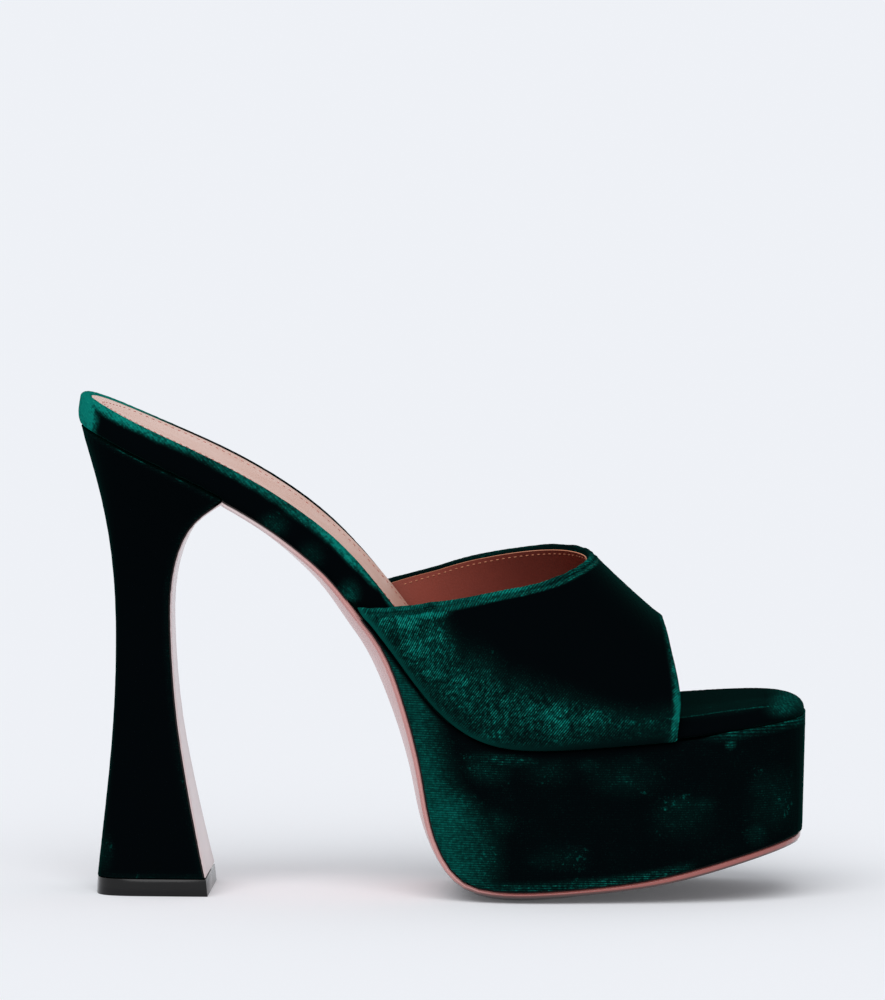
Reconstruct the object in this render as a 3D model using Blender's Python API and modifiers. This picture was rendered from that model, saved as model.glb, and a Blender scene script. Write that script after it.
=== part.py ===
"""A right platform mule: a velvet band upper on a wrapped footbed, a thick platform and a flared heel.

Units are metres. +X runs to the toe, +Y to the inner side of the foot and +Z up. The origin is on the
floor, below the middle of the shoe's box.
"""

import functools
from collections import namedtuple

import bmesh
import bpy
import numpy as np

NAME = "platform_mule"

# Clearances and walls
GAP = 0.0003
UPPER_WALL = 0.0022
UPPER_EASE = 0.0001
FLAP_THICK = 0.0006
INSOLE_THICK = 0.0009

# Ends of the plan outline: how far back each end is rounded, and how squarely
HEEL_X = -0.1080
HEEL_ROUND = 0.0300
HEEL_POWER = 2.2
TOE_X = 0.1074
BASE_TOE_X = 0.1066
TOE_ROUND = 0.0420
TOE_POWER = 2.8
END_MARGIN = 0.00005

# Half-widths of the footbed, to the outer and to the inner side of the foot
Plan = namedtuple("Plan", "place x outer inner")
PLAN = (
    Plan("heel back", -0.1080, 0.0268, 0.0262),
    Plan("heel seat", -0.0850, 0.0268, 0.0262),
    Plan("heel breast", -0.0640, 0.0250, 0.0240),
    Plan("high arch", -0.0420, 0.0226, 0.0206),
    Plan("waist", -0.0250, 0.0226, 0.0196),
    Plan("arch end", -0.0080, 0.0268, 0.0232),
    Plan("ball back", 0.0060, 0.0325, 0.0290),
    Plan("outer ball", 0.0220, 0.0366, 0.0345),
    Plan("inner ball", 0.0400, 0.0368, 0.0378),
    Plan("vamp front", 0.0680, 0.0350, 0.0372),
    Plan("toe", 0.1074, 0.0320, 0.0345),
)

# Footbed: its underside in the side view, its thickness, how much higher its inner edge is, and the
# width of its rolled edge
Bed = namedtuple("Bed", "place x z thick inner_lift roll")
FOOTBED = (
    Bed("heel back", -0.1080, 0.1390, 0.0088, 0.0000, 0.0028),
    Bed("heel seat", -0.0880, 0.1295, 0.0088, 0.0000, 0.0026),
    Bed("heel breast", -0.0640, 0.1177, 0.0088, 0.0009, 0.0026),
    Bed("high arch", -0.0430, 0.1040, 0.0084, 0.0016, 0.0026),
    Bed("arch", -0.0260, 0.0879, 0.0084, 0.0008, 0.0026),
    Bed("arch drop", -0.0112, 0.0695, 0.0082, 0.0000, 0.0026),
    Bed("ball rise", 0.0010, 0.0550, 0.0078, 0.0000, 0.0026),
    Bed("tread back", 0.0130, 0.0477, 0.0074, 0.0000, 0.0028),
    Bed("tread", 0.0280, 0.0455, 0.0070, 0.0004, 0.0030),
    Bed("vamp", 0.0480, 0.0464, 0.0068, 0.0010, 0.0034),
    Bed("vamp front", 0.0700, 0.0482, 0.0067, 0.0014, 0.0046),
    Bed("toe", 0.1074, 0.0530, 0.0064, 0.0004, 0.0100),
)

# Heights stand upright at the heel and at the forefoot, and square to the slope between them
Turn = namedtuple("Turn", "place x upright")
TURNS = (
    Turn("heel", -0.0700, 1.0),
    Turn("slope start", -0.0500, 0.0),
    Turn("slope end", 0.0050, 0.0),
    Turn("tread", 0.0250, 1.0),
)

# Edge of the footbed from its underside to its rim, and the shallow bed that holds the insole
Edge = namedtuple("Edge", "roll inset height sink")
FOOTBED_EDGE = (
    Edge(0.00, 0.0010, 0.00, 0.0),
    Edge(0.00, 0.0002, 0.14, 0.0),
    Edge(0.03, 0.0000, 0.40, 0.0),
    Edge(0.20, 0.0000, 0.70, 0.0),
    Edge(0.55, 0.0000, 0.92, 0.0),
    Edge(1.00, 0.0000, 1.00, 0.0),
    Edge(1.00, 0.0011, 0.97, 0.0),
    Edge(1.00, 0.0015, 0.97, 0.0010),
)
INSOLE_INSET = 0.0045
INSOLE_END_X = 0.0500
INSOLE_ROUND = 0.0200
INSOLE_POWER = 2.6
BED_FADE = 0.0120

# Underside of the platform in the side view, from its tail under the arch to the toe
Base = namedtuple("Base", "place x z")
PLATFORM_BASE = (
    Base("tail", -0.0225, 0.0823),
    Base("tail bend", -0.0181, 0.0766),
    Base("back wall top", -0.0142, 0.0694),
    Base("back wall high", -0.0104, 0.0590),
    Base("back wall", -0.0045, 0.0360),
    Base("back wall low", 0.0006, 0.0152),
    Base("back bend", 0.0083, 0.0060),
    Base("tread back", 0.0165, 0.0040),
    Base("tread", 0.0290, 0.0039),
    Base("tread front", 0.0460, 0.0052),
    Base("roll", 0.0632, 0.0076),
    Base("toe spring", 0.0860, 0.0134),
    Base("toe", 0.1066, 0.0192),
)
PLATFORM_REACH = 0.0006
PLATFORM_BEVEL = 0.0005
PLATFORM_TAIL_X = -0.0218
PLATFORM_FAN_X = 0.0220

# Outsole: thickness at the edge and in the middle, and the flat share of its width
Sole = namedtuple("Sole", "place x edge middle flat")
OUTSOLE = (
    Sole("heel breast", -0.0700, 0.0012, 0.0012, 0.00),
    Sole("high arch", -0.0480, 0.0015, 0.0034, 0.00),
    Sole("arch", -0.0330, 0.0015, 0.0046, 0.00),
    Sole("waist", -0.0220, 0.0015, 0.0056, 0.00),
    Sole("back wall top", -0.0140, 0.0016, 0.0060, 0.00),
    Sole("back wall", -0.0050, 0.0016, 0.0044, 0.10),
    Sole("back wall low", 0.0010, 0.0016, 0.0034, 0.25),
    Sole("tread back", 0.0120, 0.0017, 0.0039, 0.45),
    Sole("tread front", 0.0420, 0.0017, 0.0039, 0.45),
    Sole("toe", 0.1066, 0.0013, 0.0020, 0.45),
)
OUTSOLE_START_X = -0.0630
OUTSOLE_WAIST_XS = (-0.0560, -0.0480, -0.0400, -0.0330)
OUTSOLE_BEND_X = 0.0083
OUTSOLE_INSET = 0.0004
OUTSOLE_EDGE_ROUND = 0.0007
OUTSOLE_FALL = 1.5

# Heel: one slanted section a row, from its back point to its front line
Section = namedtuple("Section", "place back_x back_z front_x front_z front_half back_half power")
HEEL = (
    Section("base", -0.1019, 0.0053, -0.0699, 0.0053, 0.0210, 0.0200, 5.0),
    Section("flare", -0.1007, 0.0170, -0.0724, 0.0165, 0.0184, 0.0176, 4.6),
    Section("low waist", -0.0988, 0.0350, -0.0760, 0.0345, 0.0145, 0.0140, 4.2),
    Section("waist", -0.0973, 0.0550, -0.0791, 0.0545, 0.0112, 0.0110, 3.8),
    Section("narrowest", -0.0968, 0.0760, -0.0806, 0.0750, 0.0096, 0.0096, 3.4),
    Section("high waist", -0.0977, 0.0960, -0.0804, 0.0905, 0.0104, 0.0108, 3.0),
    Section("spread", -0.1003, 0.1130, -0.0777, 0.1023, 0.0136, 0.0146, 2.7),
    Section("cup", -0.1034, 0.1255, -0.0724, 0.1110, 0.0182, 0.0198, 2.4),
    Section("seat", -0.1069, 0.1374, -0.0642, 0.1172, 0.0236, 0.0256, 2.2),
)
HEEL_ROUND_SHARE = 0.72
HEEL_TIP_ANGLE = 4.0
FLAP_INSET = 0.0004
TOP_PIECE_FLARE = 0.0005

# Ridge of the last over the forefoot, in the side view and from above
Ridge = namedtuple("Ridge", "place x z y")
RIDGE = (
    Ridge("shank", -0.0300, 0.1572, 0.0050),
    Ridge("instep", 0.0100, 0.1283, 0.0050),
    Ridge("throat", 0.0442, 0.0999, 0.0040),
    Ridge("vamp", 0.0560, 0.0889, 0.0030),
    Ridge("front", 0.0651, 0.0810, 0.0025),
    Ridge("toe box", 0.0740, 0.0736, 0.0020),
)
LAST_POWER = 2.25
SIDE_SWELL = 0.0012

# Edges of the band by girth angle, from the sole's outer edge over the ridge at 90 to its inner edge
Girth = namedtuple("Girth", "angle throat front")
GIRTH = (
    Girth(0, -0.0244, 0.0704),
    Girth(15, -0.0078, 0.0712),
    Girth(30, 0.0112, 0.0710),
    Girth(45, 0.0298, 0.0696),
    Girth(60, 0.0390, 0.0680),
    Girth(75, 0.0430, 0.0666),
    Girth(90, 0.0440, 0.0652),
    Girth(105, 0.0416, 0.0648),
    Girth(120, 0.0348, 0.0652),
    Girth(135, 0.0221, 0.0660),
    Girth(150, 0.0040, 0.0668),
    Girth(165, -0.0107, 0.0670),
    Girth(180, -0.0240, 0.0664),
)

# Fineness of the facets
LINE_SAMPLES = 1600
FOOTBED_STATIONS = 64
INSOLE_STATIONS = 42
PLATFORM_BACK_STATIONS = 20
PLATFORM_FRONT_STATIONS = 30
OUTSOLE_BACK_STATIONS = 42
OUTSOLE_FRONT_STATIONS = 30
OUTSOLE_KNOTS = 40
OUTSOLE_COLUMNS = (0.1, 0.2, 0.35, 0.5, 0.65, 0.8, 0.9)
HEEL_RINGS = 24
HEEL_SIDE_POINTS = 15
FLAP_STATIONS = 24
UPPER_STEPS = 20
UPPER_GIRTH_STEPS = 44
SMOOTH_ANGLE = 40.0

# Finishes: colour, roughness
Finish = namedtuple("Finish", "colour roughness")
VELVET = Finish((0.004, 0.045, 0.038), 0.85)
INSOLE_LEATHER = Finish((0.62, 0.42, 0.36), 0.55)
SOLE_LEATHER = Finish((0.58, 0.28, 0.26), 0.35)
TIP_RUBBER = Finish((0.02, 0.02, 0.022), 0.35)


def spline(knots, values):
    """A natural cubic spline through the values, as a function of the knots' parameter."""
    knots = np.asarray(knots, float)
    values = np.asarray(values, float)
    gaps = np.diff(knots)
    matrix = np.eye(len(knots))
    right = np.zeros_like(values)
    for i in range(1, len(knots) - 1):
        matrix[i, i - 1 : i + 2] = gaps[i - 1], 2 * (gaps[i - 1] + gaps[i]), gaps[i]
        rise = (values[i + 1] - values[i]) / gaps[i]
        right[i] = 6 * (rise - (values[i] - values[i - 1]) / gaps[i - 1])
    bend = np.linalg.solve(matrix, right)

    def read(at):
        at = np.clip(np.asarray(at, float), knots[0], knots[-1])
        i = np.clip(np.searchsorted(knots, at) - 1, 0, len(gaps) - 1)
        gap = gaps[i]
        after = (at - knots[i]) / gap
        before = 1 - after
        if values.ndim > 1:
            gap, after, before = (v[..., None] for v in (gap, after, before))
        straight = before * values[i] + after * values[i + 1]
        curve = (before**3 - before) * bend[i] + (after**3 - after) * bend[i + 1]
        return straight + curve * gap**2 / 6

    return read


def columns(rows, *names):
    """The named columns of a table, one array row for each table row."""
    return np.array([[getattr(row, name) for name in names] for row in rows])


def column(rows, name):
    return columns(rows, name)[:, 0]


class Line:
    """A smooth line in the side view, read by the distance along it. Heights follow the turns."""

    def __init__(self, points):
        points = np.asarray(points, float)
        chords = np.linalg.norm(np.diff(points, axis=0), axis=1)
        knots = np.concatenate([[0.0], np.cumsum(chords)])
        self.points = spline(knots, points)(np.linspace(0.0, knots[-1], LINE_SAMPLES))
        steps = np.linalg.norm(np.diff(self.points, axis=0), axis=1)
        self.along = np.concatenate([[0.0], np.cumsum(steps)])
        self.length = self.along[-1]
        slope = np.gradient(self.points, self.along, axis=0)
        slope /= np.linalg.norm(slope, axis=1)[:, None]
        square = np.stack([-slope[:, 1], slope[:, 0]], axis=1)
        upright = np.array([0.0, 1.0]) / square[:, 1:]
        share = np.interp(self.points[:, 0], column(TURNS, "x"), column(TURNS, "upright"))[:, None]
        self.lifts = (1 - share) * square + share * upright

    def read(self, table, at):
        return np.stack([np.interp(at, self.along, table[:, k]) for k in (0, 1)], axis=-1)

    def point(self, at, height=0.0):
        """(x, z) at a distance along the line, raised by a height."""
        height = np.asarray(height, float)[..., None]
        return self.read(self.points, at) + height * self.read(self.lifts, at)

    def reach(self, x):
        """The distance along the line at x."""
        return np.interp(x, self.points[:, 0], self.along)

    def solid_points(self, at, y, height):
        """Points in the shoe's frame, bent along the line."""
        flat = self.point(at, height)
        return np.stack([flat[:, 0], np.broadcast_to(y, len(flat)), flat[:, 1]], axis=1)


PLAN_CURVE = spline(column(PLAN, "x"), columns(PLAN, "outer", "inner"))
BED_LINE = Line(columns(FOOTBED, "x", "z"))
BED_CURVE = spline(column(FOOTBED, "x"), columns(FOOTBED, "thick", "inner_lift", "roll"))
BASE_LINE = Line(columns(PLATFORM_BASE, "x", "z"))
SOLE_CURVE = spline(column(OUTSOLE, "x"), columns(OUTSOLE, "edge", "middle", "flat"))
RIDGE_CURVE = spline(column(RIDGE, "x"), columns(RIDGE, "z", "y"))
GIRTH_CURVE = spline(column(GIRTH, "angle"), columns(GIRTH, "throat", "front"))
HEEL_CURVE = spline(np.arange(len(HEEL)), columns(HEEL, *Section._fields[1:]))


def end_round(share, power):
    """Width of a rounded end, from 0 at its tip to 1 where the full width begins."""
    short = 1 - np.clip(share, 0.0, 1.0)
    return (1 - short**power) ** (1 / power)


def half_widths(x, toe_x=TOE_X):
    """Half-widths of the footbed at x, to the outer and the inner side."""
    ends = end_round((x - HEEL_X) / HEEL_ROUND, HEEL_POWER)
    ends = ends * end_round((toe_x - x) / TOE_ROUND, TOE_POWER)
    return PLAN_CURVE(x) * np.asarray(ends)[..., None]


def base_widths(x):
    """Half-widths of the outsole, whose toe ends a little behind the footbed's."""
    return half_widths(x, BASE_TOE_X)


def insole_widths(x):
    front = end_round((INSOLE_END_X + END_MARGIN - x) / INSOLE_ROUND, INSOLE_POWER)
    return half_widths(x) * front[:, None]


def even_stations(line, widths, start, end, count):
    """Distances along a line that space the plan outline evenly, so that round ends stay round."""
    dense = start + (end - start) * (1 - np.cos(np.linspace(0.0, np.pi, LINE_SAMPLES))) / 2
    width = widths(line.point(dense)[:, 0])[:, 0]
    run = np.concatenate([[0.0], np.cumsum(np.hypot(np.diff(dense), np.diff(width)))])
    return np.interp(np.linspace(0.0, run[-1], count), run, dense)


def inset(at, half, depth):
    """One side of an outline moved inwards: new distances along and half-widths."""
    along, across = np.gradient(at), np.gradient(half)
    size = np.hypot(along, across)
    return at + depth * across / size, half - depth * along / size


def board_loop(line, at, widths, depth, height):
    """A closed loop on a bent board, as its outer and its inner side.

    widths is a function of x, height one of x and the side's sign. depth is how far the loop is inset.
    """
    sides = []
    for side, sign in enumerate((-1, 1)):
        raised = line.point(at, height(line.point(at)[:, 0], sign))
        moved, narrowed = inset(at, widths(raised[:, 0])[:, side], depth)
        lift = height(line.point(moved)[:, 0], sign)
        sides.append(line.solid_points(moved, sign * narrowed, lift))
    return sides


def level(lift):
    """The same height all along a board, on both sides."""
    return lambda x, sign: np.full_like(x, lift)


def new_object(name, mesh, finish, collection):
    material = bpy.data.materials.new(name)
    material.use_nodes = True
    shader = material.node_tree.nodes["Principled BSDF"]
    shader.inputs["Base Color"].default_value = (*finish.colour, 1.0)
    shader.inputs["Roughness"].default_value = finish.roughness
    shader.inputs["Metallic"].default_value = 0.0
    mesh.materials.append(material)
    obj = bpy.data.objects.new(name, mesh)
    collection.objects.link(obj)
    return obj


def mesh_from(name, form):
    """Turns a bmesh into a smooth-shaded mesh with its faces pointing out."""
    bmesh.ops.recalc_face_normals(form, faces=form.faces)
    mesh = bpy.data.meshes.new(name)
    form.to_mesh(mesh)
    form.free()
    mesh.shade_smooth()
    mesh.set_sharp_from_angle(angle=np.radians(SMOOTH_ANGLE))
    return mesh


def close_loop(form, outer, inner, between):
    """Closes a loop with a ladder of faces from its outer to its inner side.

    between holds the columns of points in the middle, or nothing. The first and last rungs have none.
    """
    rungs = []
    for i, (a, b) in enumerate(zip(outer, inner)):
        at_end = i in (0, len(outer) - 1)
        middle = [] if at_end or between is None else [form.verts.new(p) for p in between[i]]
        rungs.append([a, *middle, b])
    for low, high in zip(rungs, rungs[1:]):
        if len(low) == len(high):
            for k in range(len(low) - 1):
                form.faces.new((low[k], low[k + 1], high[k + 1], high[k]))
        else:
            form.faces.new([*low, *reversed(high)])


def stacked_solid(name, loops, finish, collection, last_middle=None):
    """A closed solid from a stack of loops, each an outer and an inner side of equal length."""
    form = bmesh.new()
    rings = []
    for outer, inner in loops:
        rings.append([[form.verts.new(p) for p in side] for side in (outer, inner)])
    for (outer_low, inner_low), (outer_high, inner_high) in zip(rings, rings[1:]):
        low = [*outer_low, *reversed(inner_low)]
        high = [*outer_high, *reversed(inner_high)]
        for k in range(len(low)):
            n = (k + 1) % len(low)
            form.faces.new((low[k], low[n], high[n], high[k]))
    close_loop(form, *rings[0], None)
    close_loop(form, *rings[-1], last_middle)
    bmesh.ops.triangulate(form, faces=form.faces)
    return new_object(name, mesh_from(name, form), finish, collection)


def bed_height(x, sign, edge):
    """Height of one line of the footbed's edge over its underside."""
    thick, inner_lift, _ = BED_CURVE(x).T
    if sign > 0:
        thick = thick + inner_lift
    fade = np.clip((INSOLE_END_X + BED_FADE - x) / BED_FADE, 0.0, 1.0)
    return thick * edge.height - edge.sink * fade


def make_footbed(collection):
    """The insole board, padded and wrapped: rounded edges, and a shallow bed for the insole."""
    end = BED_LINE.length - END_MARGIN
    at = even_stations(BED_LINE, half_widths, END_MARGIN, end, FOOTBED_STATIONS)
    _, _, roll = BED_CURVE(BED_LINE.point(at)[:, 0]).T
    loops = []
    for edge in FOOTBED_EDGE:
        depth = edge.roll * roll + edge.inset
        height = functools.partial(bed_height, edge=edge)
        loops.append(board_loop(BED_LINE, at, half_widths, depth, height))
    stacked_solid("footbed", loops, VELVET, collection)


def make_insole(collection):
    """The leather sock, laid in the footbed from the heel to under the band."""
    end = BED_LINE.reach(INSOLE_END_X)
    at = even_stations(BED_LINE, insole_widths, END_MARGIN, end, INSOLE_STATIONS)
    loops = []
    for rise in (GAP, GAP + INSOLE_THICK):
        edge = FOOTBED_EDGE[-1]
        height = functools.partial(bed_height, edge=edge._replace(sink=edge.sink - rise))
        loops.append(board_loop(BED_LINE, at, insole_widths, INSOLE_INSET, height))
    stacked_solid("insole", loops, INSOLE_LEATHER, collection)


def make_platform(collection):
    """The block between footbed and outsole, with upright sides and a thin tail under the arch."""
    start = BED_LINE.reach(PLATFORM_TAIL_X)
    fan_top = BED_LINE.reach(PLATFORM_FAN_X)
    fan_base = BASE_LINE.reach(PLATFORM_FAN_X)
    share = np.linspace(0.0, 1.0, PLATFORM_BACK_STATIONS, endpoint=False)
    end = BASE_LINE.length - END_MARGIN
    front = even_stations(BASE_LINE, base_widths, fan_base, end, PLATFORM_FRONT_STATIONS)
    stretch = (TOE_X - PLATFORM_FAN_X) / (BASE_TOE_X - PLATFORM_FAN_X)
    front_x = PLATFORM_FAN_X + stretch * (BASE_LINE.point(front)[:, 0] - PLATFORM_FAN_X)
    top_at = np.concatenate([start + share * (fan_top - start), BED_LINE.reach(front_x)])
    base_at = np.concatenate([share * fan_base, front])

    def top_loop(depth, lift):
        return board_loop(BED_LINE, top_at, half_widths, depth - PLATFORM_REACH, level(lift))

    def base_loop(depth, lift):
        return board_loop(BASE_LINE, base_at, base_widths, depth - PLATFORM_REACH, level(lift))

    loops = [
        top_loop(PLATFORM_BEVEL, -GAP),
        top_loop(0.0, -GAP - PLATFORM_BEVEL),
        base_loop(0.0, PLATFORM_BEVEL),
        base_loop(PLATFORM_BEVEL, 0.0),
    ]
    stacked_solid("platform", loops, VELVET, collection)


def outsole_line():
    """Upper face of the outsole: under the footbed at the waist, then under the platform."""
    waist = BED_LINE.reach(np.array([OUTSOLE_START_X, *OUTSOLE_WAIST_XS]))
    under = BASE_LINE.point(np.linspace(0.0, BASE_LINE.length, OUTSOLE_KNOTS), -GAP)
    return Line(np.concatenate([BED_LINE.point(waist, -GAP), under]))


def sole_edge(share):
    """Height of the outsole's edge below its upper face, as a share of the edge's thickness."""

    def height(x, sign):
        edge, _, _ = SOLE_CURVE(x).T
        return -share * edge

    return height


def make_outsole(collection):
    """The leather sole: thin edges, a full middle, and a flat tread on the floor."""
    line = outsole_line()
    bend = line.reach(OUTSOLE_BEND_X)
    back = np.linspace(END_MARGIN, bend, OUTSOLE_BACK_STATIONS, endpoint=False)
    end = line.length - END_MARGIN
    at = np.concatenate([back, even_stations(line, base_widths, bend, end, OUTSOLE_FRONT_STATIONS)])
    rounded = OUTSOLE_INSET + OUTSOLE_EDGE_ROUND
    loops = [
        board_loop(line, at, base_widths, rounded, sole_edge(0.0)),
        board_loop(line, at, base_widths, OUTSOLE_INSET, sole_edge(0.5)),
        board_loop(line, at, base_widths, rounded, sole_edge(1.0)),
    ]
    middle = crown(line, at, rounded, loops[-1])
    stacked_solid("outsole", loops, SOLE_LEATHER, collection, middle)


def crown(line, at, depth, edges):
    """Columns of points across the sole's underside, from its edges to its full middle."""
    halves = base_widths(line.point(at)[:, 0])
    outer_at, inner_at = (inset(at, half, depth)[0] for half in halves.T)
    outer_y, inner_y = (side[:, 1] for side in edges)
    rows = []
    for across in OUTSOLE_COLUMNS:
        along = outer_at * (1 - across) + inner_at * across
        edge, middle, flat = SOLE_CURVE(line.point(along)[:, 0]).T
        fall = np.clip((abs(2 * across - 1) - flat) / (1 - flat), 0.0, 1.0)
        fall = fall**OUTSOLE_FALL
        y = outer_y * (1 - across) + inner_y * across
        points = line.solid_points(along, y, (middle - edge) * fall - middle)
        points[:, 2] = np.maximum(points[:, 2], 0.0)
        rows.append(points)
    return np.stack(rows, axis=1)


def heel_side(section):
    """One ring of the heel as shares from front to back and half-widths."""
    angle = np.radians(np.linspace(0.0, 90.0 - HEEL_TIP_ANGLE, HEEL_SIDE_POINTS - 1))
    round_back = np.sin(angle) ** (2 / section.power)
    share = 1 - HEEL_ROUND_SHARE * (1 - round_back)
    share = np.concatenate([[0.0], share])
    width = np.concatenate([[1.0], np.cos(angle) ** (2 / section.power)])
    half = section.front_half + (section.back_half - section.front_half) * share
    return share, half * width


def heel_loop(section, seat=False):
    """A heel ring in the shoe's frame. The seat follows the underside of the footbed."""
    share, half = heel_side(section)
    x = section.front_x + (section.back_x - section.front_x) * share
    z = section.front_z + (section.back_z - section.front_z) * share
    if seat:
        flat = BED_LINE.point(BED_LINE.reach(x), -GAP)
        x, z = flat[:, 0], flat[:, 1]
    return [np.stack([x, sign * half, z], axis=1) for sign in (-1, 1)]


def heel_section(row):
    return Section("between", *HEEL_CURVE(row))


def make_heel(collection):
    """The heel: waisted, flared to a square base, and cupped under the footbed."""
    rows = np.linspace(0.0, len(HEEL) - 1.0, HEEL_RINGS)
    loops = [heel_loop(heel_section(row), seat=row == rows[-1]) for row in rows]
    stacked_solid("heel", loops, VELVET, collection)


def make_breast_flap(collection):
    """The leather cover on the front of the heel, from the sole to the top piece."""
    sections = [heel_section(row) for row in np.linspace(len(HEEL) - 1.0, 0.0, FLAP_STATIONS)]
    front = columns(sections, "front_x", "front_z")
    half = column(sections, "front_half") - FLAP_INSET
    slope = np.gradient(front, axis=0)
    slope /= np.linalg.norm(slope, axis=1)[:, None]
    forward = np.stack([-slope[:, 1], slope[:, 0]], axis=1)
    loops = []
    for lift in (GAP, GAP + FLAP_THICK):
        x, z = (front + lift * forward).T
        loops.append([np.stack([x, sign * half, z], axis=1) for sign in (-1, 1)])
    stacked_solid("breast_flap", loops, SOLE_LEATHER, collection)


def make_top_piece(collection):
    """The heel tip: the base's outline and the flap's edge, a little wider at the floor."""
    base = HEEL[0]
    top = base._replace(
        back_z=base.back_z - GAP,
        front_x=base.front_x + GAP + FLAP_THICK,
        front_z=base.front_z - GAP,
    )
    floor = top._replace(
        back_x=top.back_x - TOP_PIECE_FLARE / 2,
        back_z=0.0,
        front_x=top.front_x + TOP_PIECE_FLARE,
        front_z=0.0,
        front_half=top.front_half + TOP_PIECE_FLARE,
        back_half=top.back_half + TOP_PIECE_FLARE,
    )
    stacked_solid("top_piece", [heel_loop(floor), heel_loop(top)], TIP_RUBBER, collection)


def last_points(x, angle):
    """Points on the outside of the band: the last's sections at x, read at one girth angle."""
    ridge_z, ridge_y = RIDGE_CURVE(x).T
    foot = BED_LINE.point(BED_LINE.reach(x))[:, 1]
    side, sign = (0, -1) if angle < np.pi / 2 else (1, 1)
    rise = np.sin(angle) ** (2 / LAST_POWER)
    spread = np.abs(np.cos(angle)) ** (2 / LAST_POWER)
    half = half_widths(x)[:, side] + GAP + UPPER_EASE + UPPER_WALL
    half = half + SIDE_SWELL * np.sin(np.pi * rise) ** 2
    y = ridge_y + (sign * half - ridge_y) * spread
    return np.stack([x, y, foot + (ridge_z - foot) * rise], axis=1)


def make_upper(collection):
    """The band: an open sheet on the last between throat and front edge, thickened inwards."""
    steps = np.linspace(0.0, 1.0, UPPER_STEPS + 1)
    strips = []
    for angle in np.linspace(0.0, 180.0, UPPER_GIRTH_STEPS + 1):
        throat, front = GIRTH_CURVE(angle)
        strips.append(last_points(front + (throat - front) * steps, np.radians(angle)))
    form = bmesh.new()
    grid = [[form.verts.new(p) for p in strip] for strip in strips]
    for low, high in zip(grid, grid[1:]):
        for k in range(UPPER_STEPS):
            form.faces.new((low[k], high[k], high[k + 1], low[k + 1]))
    mesh = mesh_from("upper", form)
    upper = new_object("upper", mesh, VELVET, collection)
    wall = upper.modifiers.new("wall", "SOLIDIFY")
    wall.thickness = UPPER_WALL
    wall.offset = -1.0
    wall.use_even_offset = True
    wall.use_rim = True


def main():
    for obj in list(bpy.data.objects):
        bpy.data.objects.remove(obj)
    collection = bpy.data.collections.new(NAME)
    bpy.context.scene.collection.children.link(collection)
    make_footbed(collection)
    make_insole(collection)
    make_platform(collection)
    make_outsole(collection)
    make_heel(collection)
    make_breast_flap(collection)
    make_top_piece(collection)
    make_upper(collection)


main()
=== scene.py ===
"""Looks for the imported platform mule: velvet, leather, stitches, and the photograph's camera and light.

The file is laid out as an add-on and run as a script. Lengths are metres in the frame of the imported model:
+X runs to the toe, +Y to the inner side of the foot and +Z up. Colours are picked as 8-bit screen values.
"""

import math
from collections import namedtuple

import bmesh
import bpy
import numpy as np
from bpy.props import FloatProperty, FloatVectorProperty, PointerProperty
from mathutils import Matrix, Vector
from mathutils.bvhtree import BVHTree


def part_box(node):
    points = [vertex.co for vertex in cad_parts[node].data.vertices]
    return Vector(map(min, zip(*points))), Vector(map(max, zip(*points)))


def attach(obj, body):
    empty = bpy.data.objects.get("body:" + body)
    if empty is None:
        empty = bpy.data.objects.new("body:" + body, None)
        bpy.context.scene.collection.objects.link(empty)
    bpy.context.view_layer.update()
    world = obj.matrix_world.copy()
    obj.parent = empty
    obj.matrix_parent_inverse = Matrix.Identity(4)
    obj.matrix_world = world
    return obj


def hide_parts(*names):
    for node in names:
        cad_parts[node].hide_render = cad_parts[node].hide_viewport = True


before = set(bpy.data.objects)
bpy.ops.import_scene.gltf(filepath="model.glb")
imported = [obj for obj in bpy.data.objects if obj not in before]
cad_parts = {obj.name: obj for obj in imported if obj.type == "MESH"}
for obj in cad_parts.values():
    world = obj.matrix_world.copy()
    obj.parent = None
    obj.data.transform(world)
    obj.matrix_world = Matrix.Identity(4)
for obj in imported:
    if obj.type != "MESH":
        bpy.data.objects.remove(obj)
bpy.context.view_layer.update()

bl_info = {
    "name": "Platform Mule Looks",
    "version": (1, 0, 0),
    "blender": (4, 5, 0),
    "location": "View3D > Sidebar > Mule",
    "description": "Dresses a packed platform mule in velvet and leather",
    "category": "Object",
}

# The picture that the camera's scale was read from, in pixels and pixels a metre
PICTURE_HEIGHT = 1000
PICTURE_SCALE = 3380.0
SENSOR_HEIGHT = 36.0

# Mesh work shared by all pieces
MERGE_DISTANCE = 1e-6
QUAD_ANGLE = math.radians(75.0)
SHARP_ANGLE = math.radians(35.0)
SMOOTH_ANGLE = math.radians(50.0)
REFINE_LEVELS = 2

# A point inside the band, below its ridge, from which its walls are told apart
BAND_INSIDE = Vector((0.055, 0.004, 0.060))

# The line inside the band, across and up, that its girth runs round, and the girth's radius
BAND_AXIS = np.array([0.002, 0.050])
BAND_GIRTH_RADIUS = 0.040

# Lines on the side view that part pile with painted light from pile with painted shade, with half the width
# of the change and the strength of the painted light
ShadeLine = namedtuple("ShadeLine", "place x z soft lift")
UPPER_SHADE = (
    ShadeLine("behind the throat", -0.0300, 0.1100, 0.0150, 0.40),
    ShadeLine("throat", 0.0010, 0.0840, 0.0130, 0.40),
    ShadeLine("instep", 0.0073, 0.0745, 0.0120, 0.40),
    ShadeLine("ball back", 0.0156, 0.0712, 0.0105, 0.40),
    ShadeLine("ball", 0.0216, 0.0670, 0.0095, 0.37),
    ShadeLine("ball front", 0.0311, 0.0646, 0.0080, 0.42),
    ShadeLine("vamp back", 0.0402, 0.0612, 0.0070, 0.42),
    ShadeLine("vamp", 0.0492, 0.0588, 0.0065, 0.35),
    ShadeLine("vamp front", 0.0581, 0.0570, 0.0060, 0.30),
    ShadeLine("front edge", 0.0671, 0.0577, 0.0060, 0.32),
)
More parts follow.
